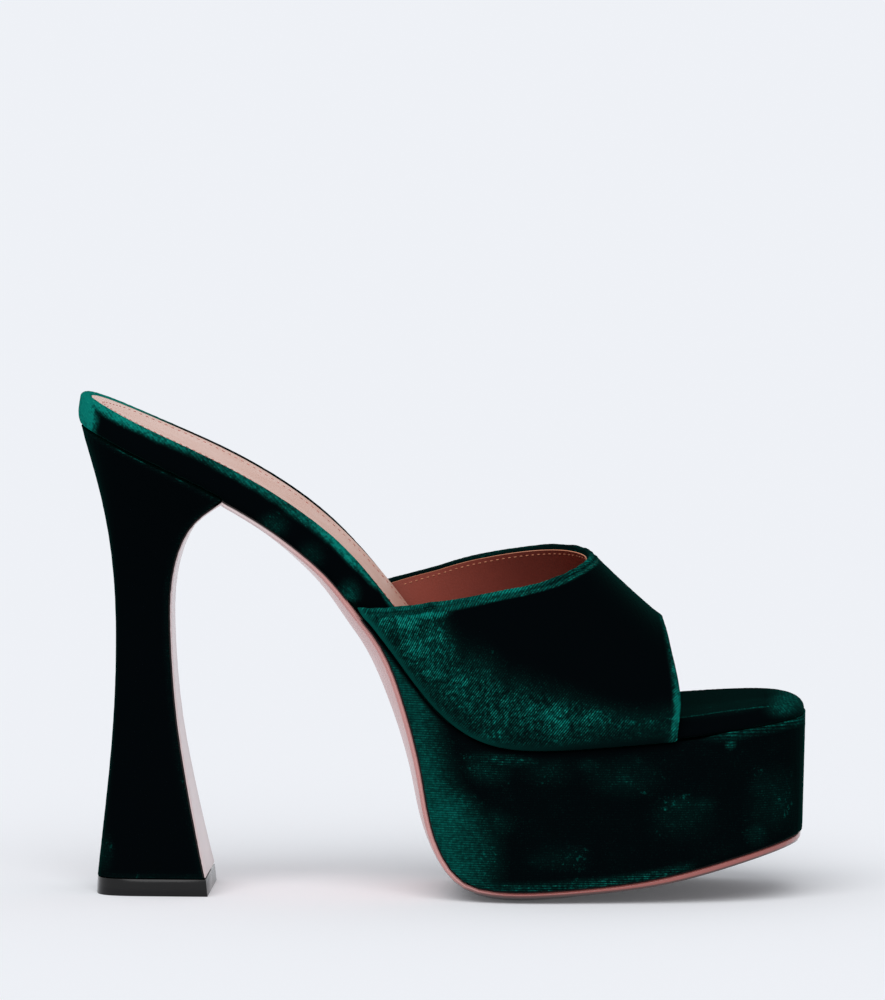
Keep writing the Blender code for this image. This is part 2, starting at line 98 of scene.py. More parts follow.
PLATFORM_SHADE = (
    ShadeLine("sole", 0.0155, 0.0067, 0.0110, 0.54),
    ShadeLine("low wall", 0.0160, 0.0156, 0.0115, 0.52),
    ShadeLine("wall", 0.0141, 0.0244, 0.0115, 0.57),
    ShadeLine("high wall", 0.0050, 0.0342, 0.0085, 0.54),
    ShadeLine("tail", 0.0006, 0.0490, 0.0070, 0.48),
)

# How strongly painted light lies on the platform's sides outside all patches
MOTTLED = 0.066

# Soft patches of painted light on the pile, on the side view
Patch = namedtuple("Patch", "place x z reach_x reach_z lift")
UPPER_PATCHES = (
    Patch("band corner", -0.0165, 0.0815, 0.0075, 0.0080, 0.78),
    Patch("topline corner", -0.0038, 0.0858, 0.0100, 0.0038, 1.50),
    Patch("throat corner", -0.0095, 0.0836, 0.0095, 0.0075, 0.95),
    Patch("throat", -0.0020, 0.0785, 0.0085, 0.0070, 0.54),
    Patch("instep", -0.0076, 0.0745, 0.0100, 0.0110, 0.74),
    Patch("instep low", -0.0030, 0.0680, 0.0085, 0.0070, 0.64),
    Patch("ball back", 0.0075, 0.0650, 0.0085, 0.0065, 0.54),
    Patch("ball", 0.0209, 0.0600, 0.0090, 0.0055, 0.50),
    Patch("ball front", 0.0274, 0.0580, 0.0070, 0.0050, 0.56),
    Patch("vamp back", 0.0345, 0.0568, 0.0095, 0.0052, 0.70),
    Patch("vamp low", 0.0366, 0.0528, 0.0065, 0.0046, 0.74),
    Patch("vamp", 0.0450, 0.0559, 0.0090, 0.0045, 0.50),
    Patch("vamp front", 0.0546, 0.0532, 0.0075, 0.0040, 0.48),
    Patch("front", 0.0629, 0.0540, 0.0055, 0.0036, 0.40),
)
PLATFORM_PATCHES = (
    Patch("under the hem", 0.0190, 0.0428, 0.0180, 0.0042, 0.36),
    Patch("ball top", 0.0150, 0.0395, 0.0130, 0.0080, 0.28),
    Patch("ball low", 0.0160, 0.0235, 0.0120, 0.0090, 0.26),
    Patch("ball field", 0.0330, 0.0400, 0.0200, 0.0100, 0.17),
    Patch("vamp field", 0.0545, 0.0380, 0.0230, 0.0125, 0.20),
    Patch("toe side field", 0.0724, 0.0257, 0.0200, 0.0135, 0.19),
    Patch("toe field", 0.0978, 0.0301, 0.0150, 0.0200, 0.21),
    Patch("tread field", 0.0360, 0.0140, 0.0200, 0.0090, 0.16),
    Patch("vamp top", 0.0445, 0.0412, 0.0080, 0.0045, 0.22),
    Patch("vamp", 0.0555, 0.0370, 0.0090, 0.0055, 0.26),
    Patch("toe side low", 0.0712, 0.0294, 0.0090, 0.0055, 0.22),
    Patch("toe low", 0.0783, 0.0293, 0.0080, 0.0055, 0.22),
    Patch("toe spot", 0.0860, 0.0471, 0.0026, 0.0022, 0.62),
    Patch("toe", 0.0948, 0.0333, 0.0080, 0.0065, 0.22),
    Patch("toe corner", 0.0939, 0.0205, 0.0065, 0.0070, 0.26),
    Patch("tread back", 0.0309, 0.0134, 0.0100, 0.0055, 0.16),
    Patch("tread", 0.0386, 0.0146, 0.0090, 0.0055, 0.17),
)
FOOTBED_PATCHES = (
    Patch("breast", -0.0490, 0.1100, 0.0080, 0.0070, 0.28),
    Patch("arch", -0.0380, 0.1010, 0.0070, 0.0080, 0.26),
    Patch("band", -0.0265, 0.0900, 0.0055, 0.0070, 0.46),
    Patch("toe end", 0.1020, 0.0570, 0.0095, 0.0050, 0.50),
)
HEEL_PATCHES = (Patch("back of the base", -0.0995, 0.0120, 0.0050, 0.0110, 0.20),)

# How strongly painted light lies on an edge or a border, along the shoe or, for the front edge, up it
Level = namedtuple("Level", "place at lift")
HEM_LEVELS = (
    Level("band", -0.0250, 0.66),
    Level("instep", -0.0110, 0.48),
    Level("ball back", 0.0010, 0.43),
    Level("ball", 0.0126, 0.42),
    Level("ball front", 0.0200, 0.33),
    Level("vamp", 0.0420, 0.18),
    Level("front edge", 0.0650, 0.13),
)
FRONT_LEVELS = (
    Level("hem", 0.0480, 0.58),
    Level("low", 0.0535, 0.86),
    Level("side", 0.0620, 0.76),
    Level("high side", 0.0720, 0.44),
    Level("ridge", 0.0830, 0.34),
)
# The folded topline: the painted highlights on its edge and on the crest below, and the painted light in the
# groove under it
Fold = namedtuple("Fold", "place at edge groove crest")
TOPLINE_FOLD = (
    Fold("band", -0.0300, 0.50, 0.36, 0.44),
    Fold("instep back", -0.0080, 0.66, 0.32, 0.46),
    Fold("instep", -0.0023, 0.58, 0.30, 0.42),
    Fold("ball back", 0.0037, 0.60, 0.44, 0.56),
    Fold("ball", 0.0126, 0.64, 0.52, 0.60),
    Fold("ball front", 0.0246, 0.82, 0.40, 0.50),
    Fold("vamp back", 0.0366, 0.38, 0.30, 0.66),
    Fold("vamp", 0.0426, 0.66, 0.26, 0.62),
)

# The footbed's rim: how strongly and how far down its painted highlight reaches, and how far each side is
# padded up
Rim = namedtuple("Rim", "place at lift reach outer_rise inner_rise")
FOOTBED_RIM = (
    Rim("heel back", -0.1080, 1.15, 0.0040, 0.0005, 0.0005),
    Rim("heel side", -0.0990, 1.15, 0.0028, 0.0005, 0.0005),
    Rim("heel", -0.0860, 0.78, 0.0022, 0.0005, 0.0004),
    Rim("heel front", -0.0770, 0.74, 0.0022, 0.0005, 0.0004),
    Rim("breast back", -0.0680, 0.46, 0.0022, 0.0005, 0.0004),
    Rim("breast", -0.0590, 0.66, 0.0022, 0.0006, 0.0004),
    Rim("arch back", -0.0500, 0.66, 0.0022, 0.0008, 0.0004),
    Rim("arch", -0.0415, 0.58, 0.0020, 0.0010, 0.0004),
    Rim("waist", -0.0320, 1.05, 0.0018, 0.0013, 0.0003),
    Rim("waist front", -0.0240, 0.90, 0.0014, 0.0010, 0.0),
    Rim("band", -0.0180, 0.55, 0.0009, 0.0006, -0.0002),
    Rim("under the band", 0.0050, 0.30, 0.0024, 0.0, 0.0),
    Rim("vamp", 0.0500, 0.10, 0.0024, 0.0, 0.0),
    Rim("toe", 0.1074, 0.13, 0.0024, 0.0, 0.0),
)

# How far the topline is raised: the velvet on its outer and inner sides, and the lining's inner side
Rise = namedtuple("Rise", "place at outer inner lining")
TOPLINE_RISE = (
    Rise("back corner", -0.0240, 0.0, 0.0018, 0.0003),
    Rise("band back", -0.0203, -0.0014, 0.0018, 0.0003),
    Rise("band", -0.0158, -0.0019, 0.0015, 0.0002),
    Rise("instep back", -0.0120, -0.0013, 0.0012, 0.0001),
    Rise("instep", -0.0080, -0.0007, 0.0010, 0.0),
    Rise("ball back", -0.0023, 0.0004, 0.0006, -0.0003),
    Rise("ball", 0.0126, -0.0002, 0.0005, -0.0003),
    Rise("ball front", 0.0246, -0.0008, 0.0005, 0.0),
    Rise("vamp back", 0.0366, 0.0, 0.0004, 0.0003),
    Rise("vamp", 0.0450, 0.0, 0.0003, 0.0003),
)

# The line of painted highlight along the crest on top of the toe, on the outer side and mirrored on the inner
# one
Spot = namedtuple("Spot", "place x y z")
TOE_HIGHLIGHT_LINE = (
    Spot("band", 0.0700, -0.0311, 0.0547),
    Spot("vamp", 0.0769, -0.0295, 0.0554),
    Spot("toe back", 0.0845, -0.0265, 0.0563),
    Spot("toe", 0.0915, -0.0239, 0.0570),
    Spot("toe corner", 0.0968, -0.0210, 0.0573),
)

# Troughs pressed into the band where the velvet was pulled over its lower edge
Crease = namedtuple("Crease", "place start_x start_z end_x end_z width depth")
UPPER_CREASES = (
    Crease("ball pull", 0.0130, 0.0530, 0.0150, 0.0640, 0.0030, 0.00025),
    Crease("first pucker", 0.0440, 0.0490, 0.0450, 0.0570, 0.0016, 0.00028),
    Crease("second pucker", 0.0490, 0.0490, 0.0505, 0.0590, 0.0015, 0.00032),
    Crease("third pucker", 0.0545, 0.0490, 0.0555, 0.0575, 0.0014, 0.00030),
    Crease("fourth pucker", 0.0595, 0.0490, 0.0600, 0.0590, 0.0014, 0.00034),
    Crease("fifth pucker", 0.0645, 0.0490, 0.0645, 0.0570, 0.0013, 0.00030),
)

# Pairs of numbers below are smooth changes, 0 at the first and 1 at the second, apart from wave lengths

# The inner side of the shoe, across it, and the walls that face away from the band's axis
INNER_SIDE = (-0.0060, 0.0060)
FACING_OUT = (0.0, 0.25)

# An edge of the band that runs across it is at least this wide, as a share of its length
ACROSS_SHARE = 0.5

# The folded topline: its strip, the groove in it, the crest below, its wave, how far down it is raised, and
# how far painted shade dims its painted highlight on the inner side
TOPLINE_WIDTH = 0.0038
TOPLINE_SOFT = 0.0008
TOPLINE_FINE = 0.0050
TOPLINE_BARE = 0.35
TOPLINE_RAISED = 0.0060
TOPLINE_INNER_DIM = 0.55
GROOVE_AT = 0.0017
GROOVE_WIDTH = 0.0005
GROOVE_DEPTH = 0.00030
CREST_AT = 0.0025
CREST_WIDTH = 0.0006
EDGE_WAVE = 0.00022
EDGE_WAVE_LENGTHS = (0.0113, 0.0071)

# The band's front edge, which carries a painted highlight and, above the hem, is rolled forward
FRONT_LIT = (0.0030, 0.0010)
FRONT_ROLL = 0.0003
FRONT_ROLL_REACH = 0.0040
FRONT_ROLL_UP = (0.0500, 0.0620)

# The band's hem: its bare strip, the end of that at the front edge, and the weaker painted light on the pile
# above
HEM_BARE = (0.0030, 0.0006)
HEM_BARE_END = (0.0030, 0.0040)
HEM_FADE = 0.30
HEM_FADE_REACH = (0.0090, 0.0030)

# The painted shadow that the hem throws on what lies under it, by distance from the hem
HEM_SHADOW = (0.0009, 0.0027)

# The footbed: the painted highlight on its rim, dimmed by painted shade on the inner side, the painted light
# on its back with a ragged end, and its bare wrap
RIM_CORE = 0.15
FAR_RIM_DIM = 0.80
FAR_RIM_DIMMED = (-0.0900, -0.0750)
HEEL_BACK_LIFT = 1.10
HEEL_BACK = (-0.1000, -0.1034)
HEEL_BACK_WAVE = 0.0009
HEEL_BACK_CELL = 0.0083
FOOTBED_BARE = 0.30

# The painted highlight along the crest on top of the toe and the painted highlight along the seam under it
TOE_HIGHLIGHT_LIFT = 0.44
TOE_HIGHLIGHT_WIDTH = 0.0007
TOE_HIGHLIGHT_REACH = 0.0040
TOE_SEAM_LIFT = 0.42
TOE_SEAM_WIDTH = 0.0024
TOE_SEAM_ALONG = (0.0800, 0.0940)

# Where the footbed is padded up, by its slope, and let down to the sole, by gap and direction
UPTURNED = (0.15, 0.65)
UNDERSIDE_GAP = (0.0017, 0.0015)
FACING_SOLE = (0.2, 0.6)

# Length of the steps in which a rim's height is read along the shoe
RIM_STEP = 0.003

# The platform: the painted highlight on its low edge, the bare pile where painted light lies on its back, and
# how its tall walls are cut
LOW_RIM_LIFT = 0.38
LOW_RIM_WIDTH = (0.0034, 0.0004)
LOW_RIM_ALONG = (0.0800, 0.0680)
LOW_RIM_BELOW = 0.0220
BACK_BARE = 0.55
BACK_BARE_LIFT = (0.0, 0.5)
WALL_STEP = 0.0040
WALL_CUTS = 9

# The welt along the top of the toe, raised and given a painted highlight
WELT_WIDTH = 0.0018
WELT_HEIGHT = 0.0009
WELT_LIFT = 0.42
WELT_ALONG = (0.0740, 0.0860)
WELT_ABOVE = 0.0400

# The heel: painted highlights on its edges, and wisps of painted highlight along the seams in the upper share
# of its height
HEEL_EDGE_LIFT = 0.13
HEEL_EDGE_WIDTH = (0.0026, 0.0002)
HEEL_TOP_SHARE = 0.75
WISP_BACK = (-0.1010, -0.0980)
WISP_FRONT = (-0.0735, -0.0765)
WISP_LENGTHS = (0.0230, 0.0091)
WISP_WAVE = (-0.6, 0.4)
WISP_LIFT = 0.50
WISP_WIDTH = (0.0006, 0.00012)
WISP_REACH = 0.0030

# The slit between velvet and lower pieces, which is drawn shut, and the darker edging along it
SEAM_GAP = (0.00045, 0.00035)
SEAM_PULL = 0.9
SEAM_EDGING = (0.0007, 0.0005)

# The sole's back end, which is tucked to the flap, and its lower edge at the toe, which is let down
SOLE_TUCK = np.array([-0.0009, 0.0, 0.0006])
SOLE_TUCK_REACH = 0.0015
FACING_BACK = (0.4, 0.7)
SOLE_DROP = 0.0009
SOLE_DROP_ALONG = (0.0300, 0.0850)
FACING_DOWN = (0.0, 0.5)

# The sole's colours along the shoe, a painted reflection towards the back and painted shade towards the
# front, and the painted contact shadow on its underside, by height and by how far it faces the floor
PAINTED_REFLECTION_ALONG = (-0.0250, -0.0600)
FRONT_SHADE_ALONG = (0.0, 0.0240)
TREAD_HEIGHT = (0.0220, 0.0160)
TREAD_FACING = (0.35, 0.75)

# The lining: its inset from the velvet, cut edge, wall, tuck beside the footbed and where its painted shade
# is darkest
LINING_INSET = 0.00012
LINING_EDGE = 0.0001
LINING_LIFT = 0.00012
LINING_WALL = 0.00024
LINING_TUCK = 0.0060
LINING_DARK_SHARE = 0.625

# Rows of stitches: how far they are set in, their pitch, the size of a stitch and how its ends dip
Thread = namedtuple("Thread", "inset pitch length width height")
INSOLE_THREAD = Thread(0.0068, 0.0021, 0.0014, 0.00034, 0.00036)
LINING_THREAD = Thread(0.0014, 0.0018, 0.0011, 0.00036, 0.00036)
TOPLINE_THREAD = Thread(0.0025, 0.0012, 0.0009, 0.00042, 0.00040)
STITCH_DIP = (0.25, 0.5)

# The insole's row: its inset on the outer side, the outline's least points, and where it is dropped from
INSOLE_OUTER_INSET = 0.0032
INSOLE_LOOP_POINTS = 60
SEAT_HEIGHT = Vector((0.0, 0.0, 0.020))

# Rows along the band's edges, seen from the band's axis, at 0, or from twice as far out as the edge, at 2
BandRow = namedtuple("BandRow", "name edge towards size carrier slot rise seen_from")
BAND_ROWS = (
    BandRow(
        name="lining_stitches",
        edge="throat inside",
        towards="front inside",
        size=LINING_THREAD,
        carrier="lining",
        slot="insole_leather",
        rise="lining",
        seen_from=0.0,
    ),
    BandRow(
        name="topline_stitches",
        edge="throat",
        towards="front",
        size=TOPLINE_THREAD,
        carrier="upper_velvet",
        slot="upper_velvet",
        rise="inner",
        seen_from=2.0,
    ),
)

# Velvet: the size of its uneven tips, and blotches, specks and single fibres in bumps a metre
PILE_CELL = 0.0021
BLOTCHES = 110.0
SPECKS = 900.0
FIBRES = 2600.0
SPECK_STEP = (0.36, 0.64)
SPECK_STRENGTH = 0.65
SPECK_HEIGHT = 0.5
ROUGH_NAP = (0.10, 0.40)
LIT_POWER = 2.2
VELVET_RELIEF = 0.0002

# Lone specks of painted light where the painted light only begins, and painted glints on fibre tips where it
# is strong
TURNING_FROM = (0.05, 0.11)
TURNING_TO = (0.50, 0.30)
LONE_SPECK = (0.56, 0.68)
LONE_BLOTCH = (0.50, 0.66)
LONE_STRENGTH = 0.34
TIP_FIBRE = (0.52, 0.68)
TIP_POWER = 1.6
TIP_STRENGTH = 0.8

# The weave: how steeply it climbs the band, how its rows waver, and dashes that are some rows long
WEAVE_RISE = math.radians(50.0)
ROW_STEP = (-0.8, 0.8)
WAVER_SCALE = 0.30
WAVER_SIZE = 2.5
DASH_LENGTH = 5.0
DASH_SCALE = 1.2
DASH_STEP = (0.38, 0.60)
DASH_GAP = 0.45

# Leather: its grain in bumps a metre, and how far that changes its tone and its gloss
GRAIN_FINE = 2400.0
GRAIN_SLOW = 70.0
GRAIN_FINE_SHARE = 0.3
GRAIN_FINE_HEIGHT = 0.5
TONE_STEP = (0.3, 0.7)
TONE_WEAR = 0.25
GLOSS_SPREAD = 0.12
LEATHER_RELIEF = 0.0001

# Thread and rubber: strands in bumps a metre, the painted shade between a thread's strands, and the darker
# tone of the rubber
STRANDS = 3200.0
STRAND_STEP = (0.35, 0.6)
STRAND_SHADE = 0.55
RUBBER_SHADE = 0.7


def screen(red, green, blue):
    """A linear colour from 8-bit screen values."""
    shares = [value / 255.0 for value in (red, green, blue)]
    return tuple(s / 12.92 if s <= 0.04045 else ((s + 0.055) / 1.055) ** 2.4 for s in shares)


def colour(name, description, default):
    return FloatVectorProperty(
        name=name, description=description, default=default, subtype="COLOR", min=0.0, max=1.0
    )


def length(name, description, default):
    return FloatProperty(name=name, description=description, default=default, unit="LENGTH")


class MuleVelvet(bpy.types.PropertyGroup):
    """Colours of the pile, with its painted shade, painted light and painted glints, and how unevenly it
    stands.
    """

    # Painted light: the shaded and lit pile colours and the bright fibres stand in for light and shade on the
    # pile
    dark: colour("Shaded pile", "Pile that leans away from the light", screen(3, 6, 8))
    lit: colour("Lit pile", "Pile that leans into the light", screen(8, 114, 103))
    bright: colour("Bright fibres", "Single fibres that catch the light", screen(40, 158, 138))
    sheen: colour("Sheen", "Light in the tips of the pile, seen along the cloth", screen(60, 200, 180))
    thread: colour("Topline thread", "Thread of the topline row", screen(8, 60, 52))
    pile: length("Pile unevenness", "Height of the pile's uneven tips", 0.00006)


class MuleLeather(bpy.types.PropertyGroup):
    """Colours of the leathers, their threads and the heel tip."""

    insole_rear: colour("Insole, rear", "Leather of the insole at the heel", screen(219, 182, 168))
    insole_front: colour("Insole, front", "Leather of the insole at the band", screen(190, 133, 110))
    insole_thread: colour("Insole thread", "Thread of the insole row", screen(192, 106, 98))
    lining_rear: colour("Lining, rear", "Leather inside the band at its back", screen(154, 74, 60))
    # Painted shade: the lining's darker colour towards the front, far inside the band
    lining_painted_shade: colour("Lining, front", "Leather inside the band at its front", screen(112, 44, 34))
    cut_edge: colour("Cut edge", "Raw edge of the lining leather", screen(190, 122, 90))
    lining_thread: colour("Lining thread", "Thread of the lining row", screen(210, 142, 112))
    sole: colour("Sole", "Lacquered leather of the sole", screen(199, 139, 134))
    # Painted shade: the sole is darker at the ball and the toe, where it runs near the floor
    deep: colour("Sole, front", "Lacquered leather at the ball and the toe", screen(160, 87, 81))
    # Painted reflection: the breast and the arch are made pale like the surround reflected in them
    pale: colour("Breast", "Lacquered leather of the breast and of the arch", screen(215, 196, 196))
    # Painted shadow: the sole's underside is darkened where it faces the floor
    tread: colour("Tread", "Leather of the sole where it faces the floor", screen(58, 38, 36))
    # A darker edging along the sole's seam with the velvet
    dye: colour("Edge dye", "Dark dye along the edge of the sole", screen(30, 22, 22))
    tip: colour("Heel tip", "Rubber of the top piece", screen(7, 7, 8))


class MuleStage(bpy.types.PropertyGroup):
    """Floor, light and camera."""

    floor: colour("Floor", "Colour of the floor", (0.87, 0.885, 0.915))
    glow: FloatProperty(name="Floor glow", description="Share of its own light in the floor", default=0.08)
    sky: colour("Surround", "Colour of the studio around the shoe", (0.955, 0.97, 1.0))
    floor_size: length("Floor size", "Side of the square floor", 60.0)
    fill: FloatProperty(name="Fill", description="Strength of the light from all round", default=0.52)
    mirror: FloatProperty(name="Mirror", description="Brightness of the surround in gloss", default=0.95)
    key: FloatProperty(name="Key", description="Strength of the soft main light", default=1.70)
    key_angle: FloatProperty(
        name="Key size",
        description="Apparent size of the main light",
        default=math.radians(55.0),
        subtype="ANGLE",
    )
    key_from: FloatVectorProperty(
        name="Key from", description="Direction of the main light", default=(-0.12, -0.85, 1.0)
    )
    azimuth: FloatProperty(
        name="Camera azimuth",
        description="Turn of the camera to the toe",
        default=math.radians(2.5),
        subtype="ANGLE",
    )
    elevation: FloatProperty(
        name="Camera elevation",
        description="Camera above the horizon",
        default=math.radians(4.8),
        subtype="ANGLE",
    )
    distance: length("Camera distance", "From the aim to the camera", 3.5)
    aim: FloatVectorProperty(
        name="Aim", description="Point in the middle of the picture", default=(0.0, 0.0, 0.116)
    )


# Mesh helpers


def select_only(*objects):
    """Selects these objects alone and makes the first of them active."""
    bpy.ops.object.select_all(action="DESELECT")
    for obj in objects:
        obj.select_set(True)
    bpy.context.view_layer.objects.active = objects[0]


def edit(piece):
    """Opens a piece in edit mode with nothing selected."""
    select_only(piece)
    bpy.ops.object.mode_set(mode="EDIT")
    bpy.ops.mesh.select_mode(type="VERT")
    bpy.ops.mesh.select_all(action="DESELECT")


def close_edit():
    bpy.ops.object.mode_set(mode="OBJECT")


def edit_with(piece, kind, chosen):
    """Opens a piece in edit mode with only some of its vertices, edges or faces selected, by number."""
    edit(piece)
    bpy.ops.mesh.select_mode(type=kind)
    close_edit()
    elements = {"VERT": piece.data.vertices, "EDGE": piece.data.edges, "FACE": piece.data.polygons}[kind]
    for number in chosen:
        elements[number].select = True
    bpy.ops.object.mode_set(mode="EDIT")


def copy_of(node, name):
    """A copy of a CAD node's mesh with its triangles merged back to quads."""
    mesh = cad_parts[node].data.copy()
    mesh.name = name
    mesh.materials.clear()
    piece = bpy.data.objects.new(name, mesh)
    bpy.context.scene.collection.objects.link(piece)
    edit(piece)
    bpy.ops.mesh.select_all(action="SELECT")
    bpy.ops.mesh.remove_doubles(threshold=MERGE_DISTANCE)
    bpy.ops.mesh.customdata_custom_splitnormals_clear()
    bpy.ops.mesh.tris_convert_to_quads(face_threshold=QUAD_ANGLE, shape_threshold=QUAD_ANGLE)
    close_edit()
    return piece


def finish_with(piece, kind, **settings):
    """Adds one modifier and applies it."""
    select_only(piece)
    bpy.ops.object.modifier_add(type=kind)
    modifier = piece.modifiers[-1]
    for name, value in settings.items():
        setattr(modifier, name, value)
    bpy.ops.object.modifier_apply(modifier=modifier.name)


def round_edges(piece, width, segments):
    finish_with(
        piece,
        "BEVEL",
        width=width,
        segments=segments,
        limit_method="ANGLE",
        angle_limit=SHARP_ANGLE,
        use_clamp_overlap=True,
    )


def refine(piece, kind="CATMULL_CLARK"):
    """Splits the faces finer, rounding the form or, with the SIMPLE kind, keeping it as it is."""
    finish_with(
        piece, "SUBSURF", subdivision_type=kind, levels=REFINE_LEVELS, render_levels=REFINE_LEVELS
    )


def divide_near(piece, runs, reach, cuts):
    """Cuts the faces beside some lines finer."""
    near = distance_to(points_of(piece), runs) < reach
    edit_with(piece, "FACE", [face.index for face in piece.data.polygons if near[face.vertices].any()])
    bpy.ops.mesh.subdivide(number_cuts=cuts)
    close_edit()


def smooth_shade(piece):
    select_only(piece)
    bpy.ops.object.shade_smooth_by_angle(angle=SMOOTH_ANGLE)


def points_of(piece):
    values = np.empty(len(piece.data.vertices) * 3)
    piece.data.vertices.foreach_get("co", values)
    return values.reshape(-1, 3)


def normals_of(piece):
    values = np.empty(len(piece.data.vertices) * 3)
    piece.data.vertices.foreach_get("normal", values)
    return values.reshape(-1, 3)


def set_points(piece, points):
    piece.data.vertices.foreach_set("co", points.ravel())
    piece.data.update()


def set_attribute(piece, name, values):
    """Stores a number for each vertex, or one for all, which the materials read by name."""
    attribute = piece.data.attributes.new(name, "FLOAT", "POINT")
    attribute.data.foreach_set("value", np.full(len(piece.data.vertices), values, np.float32))


def lay_nap_and_painted_light(piece, nap, across, along, bare=0.0):
    """Stores the painted light and shade on the pile, partly the lie of the pile, where it is bare, and two
    places on the weave.
    """
    set_attribute(piece, "nap", nap)
    set_attribute(piece, "bare", bare)
    set_attribute(piece, "across", across)
    set_attribute(piece, "along", along)


def surface_of(piece):
    return BVHTree.FromObject(piece, bpy.context.evaluated_depsgraph_get())


def way_to(points, surfaces):
    """The way from each point to the nearest place on some surfaces, as vectors, and its length."""
    nearest = []
    for point in points:
        found = (surface.find_nearest(Vector(point)) for surface in surfaces)
        nearest.append(min(found, key=lambda hit: hit[3]))
    places = np.array([place for place, _, _, _ in nearest])
    gaps = np.array([gap for _, _, _, gap in nearest])
    return places - points, gaps


def settle(piece, slot, node=None):
    """Puts a finished piece on the shoe's only body and hides the imported node that it stands for; the slot
    is not used.
    """
    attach(piece, "root")
    if node:
        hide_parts(node)


# Shapes read from the pieces


def ramp(values, start, end):
    """A smooth change from 0 at the start to 1 at the end, which may lie below the start."""
    share = np.clip((values - start) / (end - start), 0.0, 1.0)
    return share * share * (3.0 - 2.0 * share)


def bell(values, width):
    """A bump that is 1 at zero and fades over a width to both sides."""
    return np.exp(-((values / width) ** 2))


def column(table, name):
    return np.array([getattr(row, name) for row in table])


def read_table(table, at, by, name):
    """One column of a table read along another, whose values rise."""
    return np.interp(at, column(table, by), column(table, name))


def sharp_runs(piece):
    """Runs of sharp edges, from corner to corner, as arrays of points."""
    form = bmesh.new()
    form.from_mesh(piece.data)
    beside = {}
    for edge in form.edges:
        if len(edge.link_faces) == 2 and edge.calc_face_angle() > SHARP_ANGLE:
            low, high = edge.verts
            beside.setdefault(low, []).append(high)
            beside.setdefault(high, []).append(low)
    corners = [vert for vert, near in beside.items() if len(near) != 2]
    runs = []
    seen = set()
    for corner in corners:
        for following in beside[corner]:
            run = [corner, following]
            while run[-1] not in corners:
                run.append(next(vert for vert in beside[run[-1]] if vert != run[-2]))
            ends = frozenset((run[0].index, run[1].index)), frozenset((run[-1].index, run[-2].index))
            if not seen.intersection(ends):
                runs.append(np.array([vert.co for vert in run]))
                seen.update(ends)
    form.free()
    return runs


def run_length(run):
    return np.linalg.norm(np.diff(run, axis=0), axis=1).sum()


def distance_to(points, runs):
    """Distance of each point to the nearest of some runs."""
    nearest = np.full(len(points), np.inf)
    for run in runs:
        for start, end in zip(run, run[1:]):
            way = end - start
            share = np.clip((points - start) @ way / max(way @ way, MERGE_DISTANCE**2), 0.0, 1.0)
            gap = np.linalg.norm(points - start - share[:, None] * way, axis=1)
            nearest = np.minimum(nearest, gap)
    return nearest


def patch_lift(points, patches):
    """Lit patches at each point of a piece, from 0 to 1."""
    total = np.zeros(len(points))
    for patch in patches:
        away = np.hypot((points[:, 0] - patch.x) / patch.reach_x, (points[:, 2] - patch.z) / patch.reach_z)
        total = np.maximum(total, patch.lift * ramp(away, 1.0, 0.0))
    return total


def press(points, creases):
    """Depth of the troughs at each point, on either side of the shoe."""
    flat = points[:, [0, 2]]
    depth = np.zeros(len(points))
    for crease in creases:
        start = np.array([crease.start_x, crease.start_z])
        way = np.array([crease.end_x, crease.end_z]) - start
        share = (flat - start) @ way / (way @ way)
        gap = np.linalg.norm(flat - start - np.clip(share, 0.0, 1.0)[:, None] * way, axis=1)
        depth = np.maximum(depth, crease.depth * ramp(share, 1.0, 0.0) * bell(gap, crease.width))
    return depth


def top_line(points):
    """A piece's height along the shoe: places and the highest points near them."""
    x, _, z = points.T
    at = np.arange(x.min(), x.max(), RIM_STEP)
    return at, np.array([z[np.abs(x - place) < RIM_STEP].max() for place in at])


def uneven(points, cell):
    """A fixed bumpy pattern between -1 and 1, one cell from bump to bump, of waves that don't line up."""
    phases = points / cell * math.tau
    x, y, z = phases.T
    wave = np.sin(x + 1.7 * np.sin(0.61 * y)) * np.sin(y + 1.3 * np.sin(0.53 * z))
    return 0.5 * wave + 0.5 * np.sin(z + 1.9 * np.sin(0.47 * x)) * np.sin(0.83 * x + 0.71 * y)


def ruffled(points, normals):
    """Points moved out and in by the pile's uneven tips."""
    height = bpy.context.scene.mule_velvet.pile * uneven(points, PILE_CELL)
    return points + height[:, None] * normals


# Material helpers


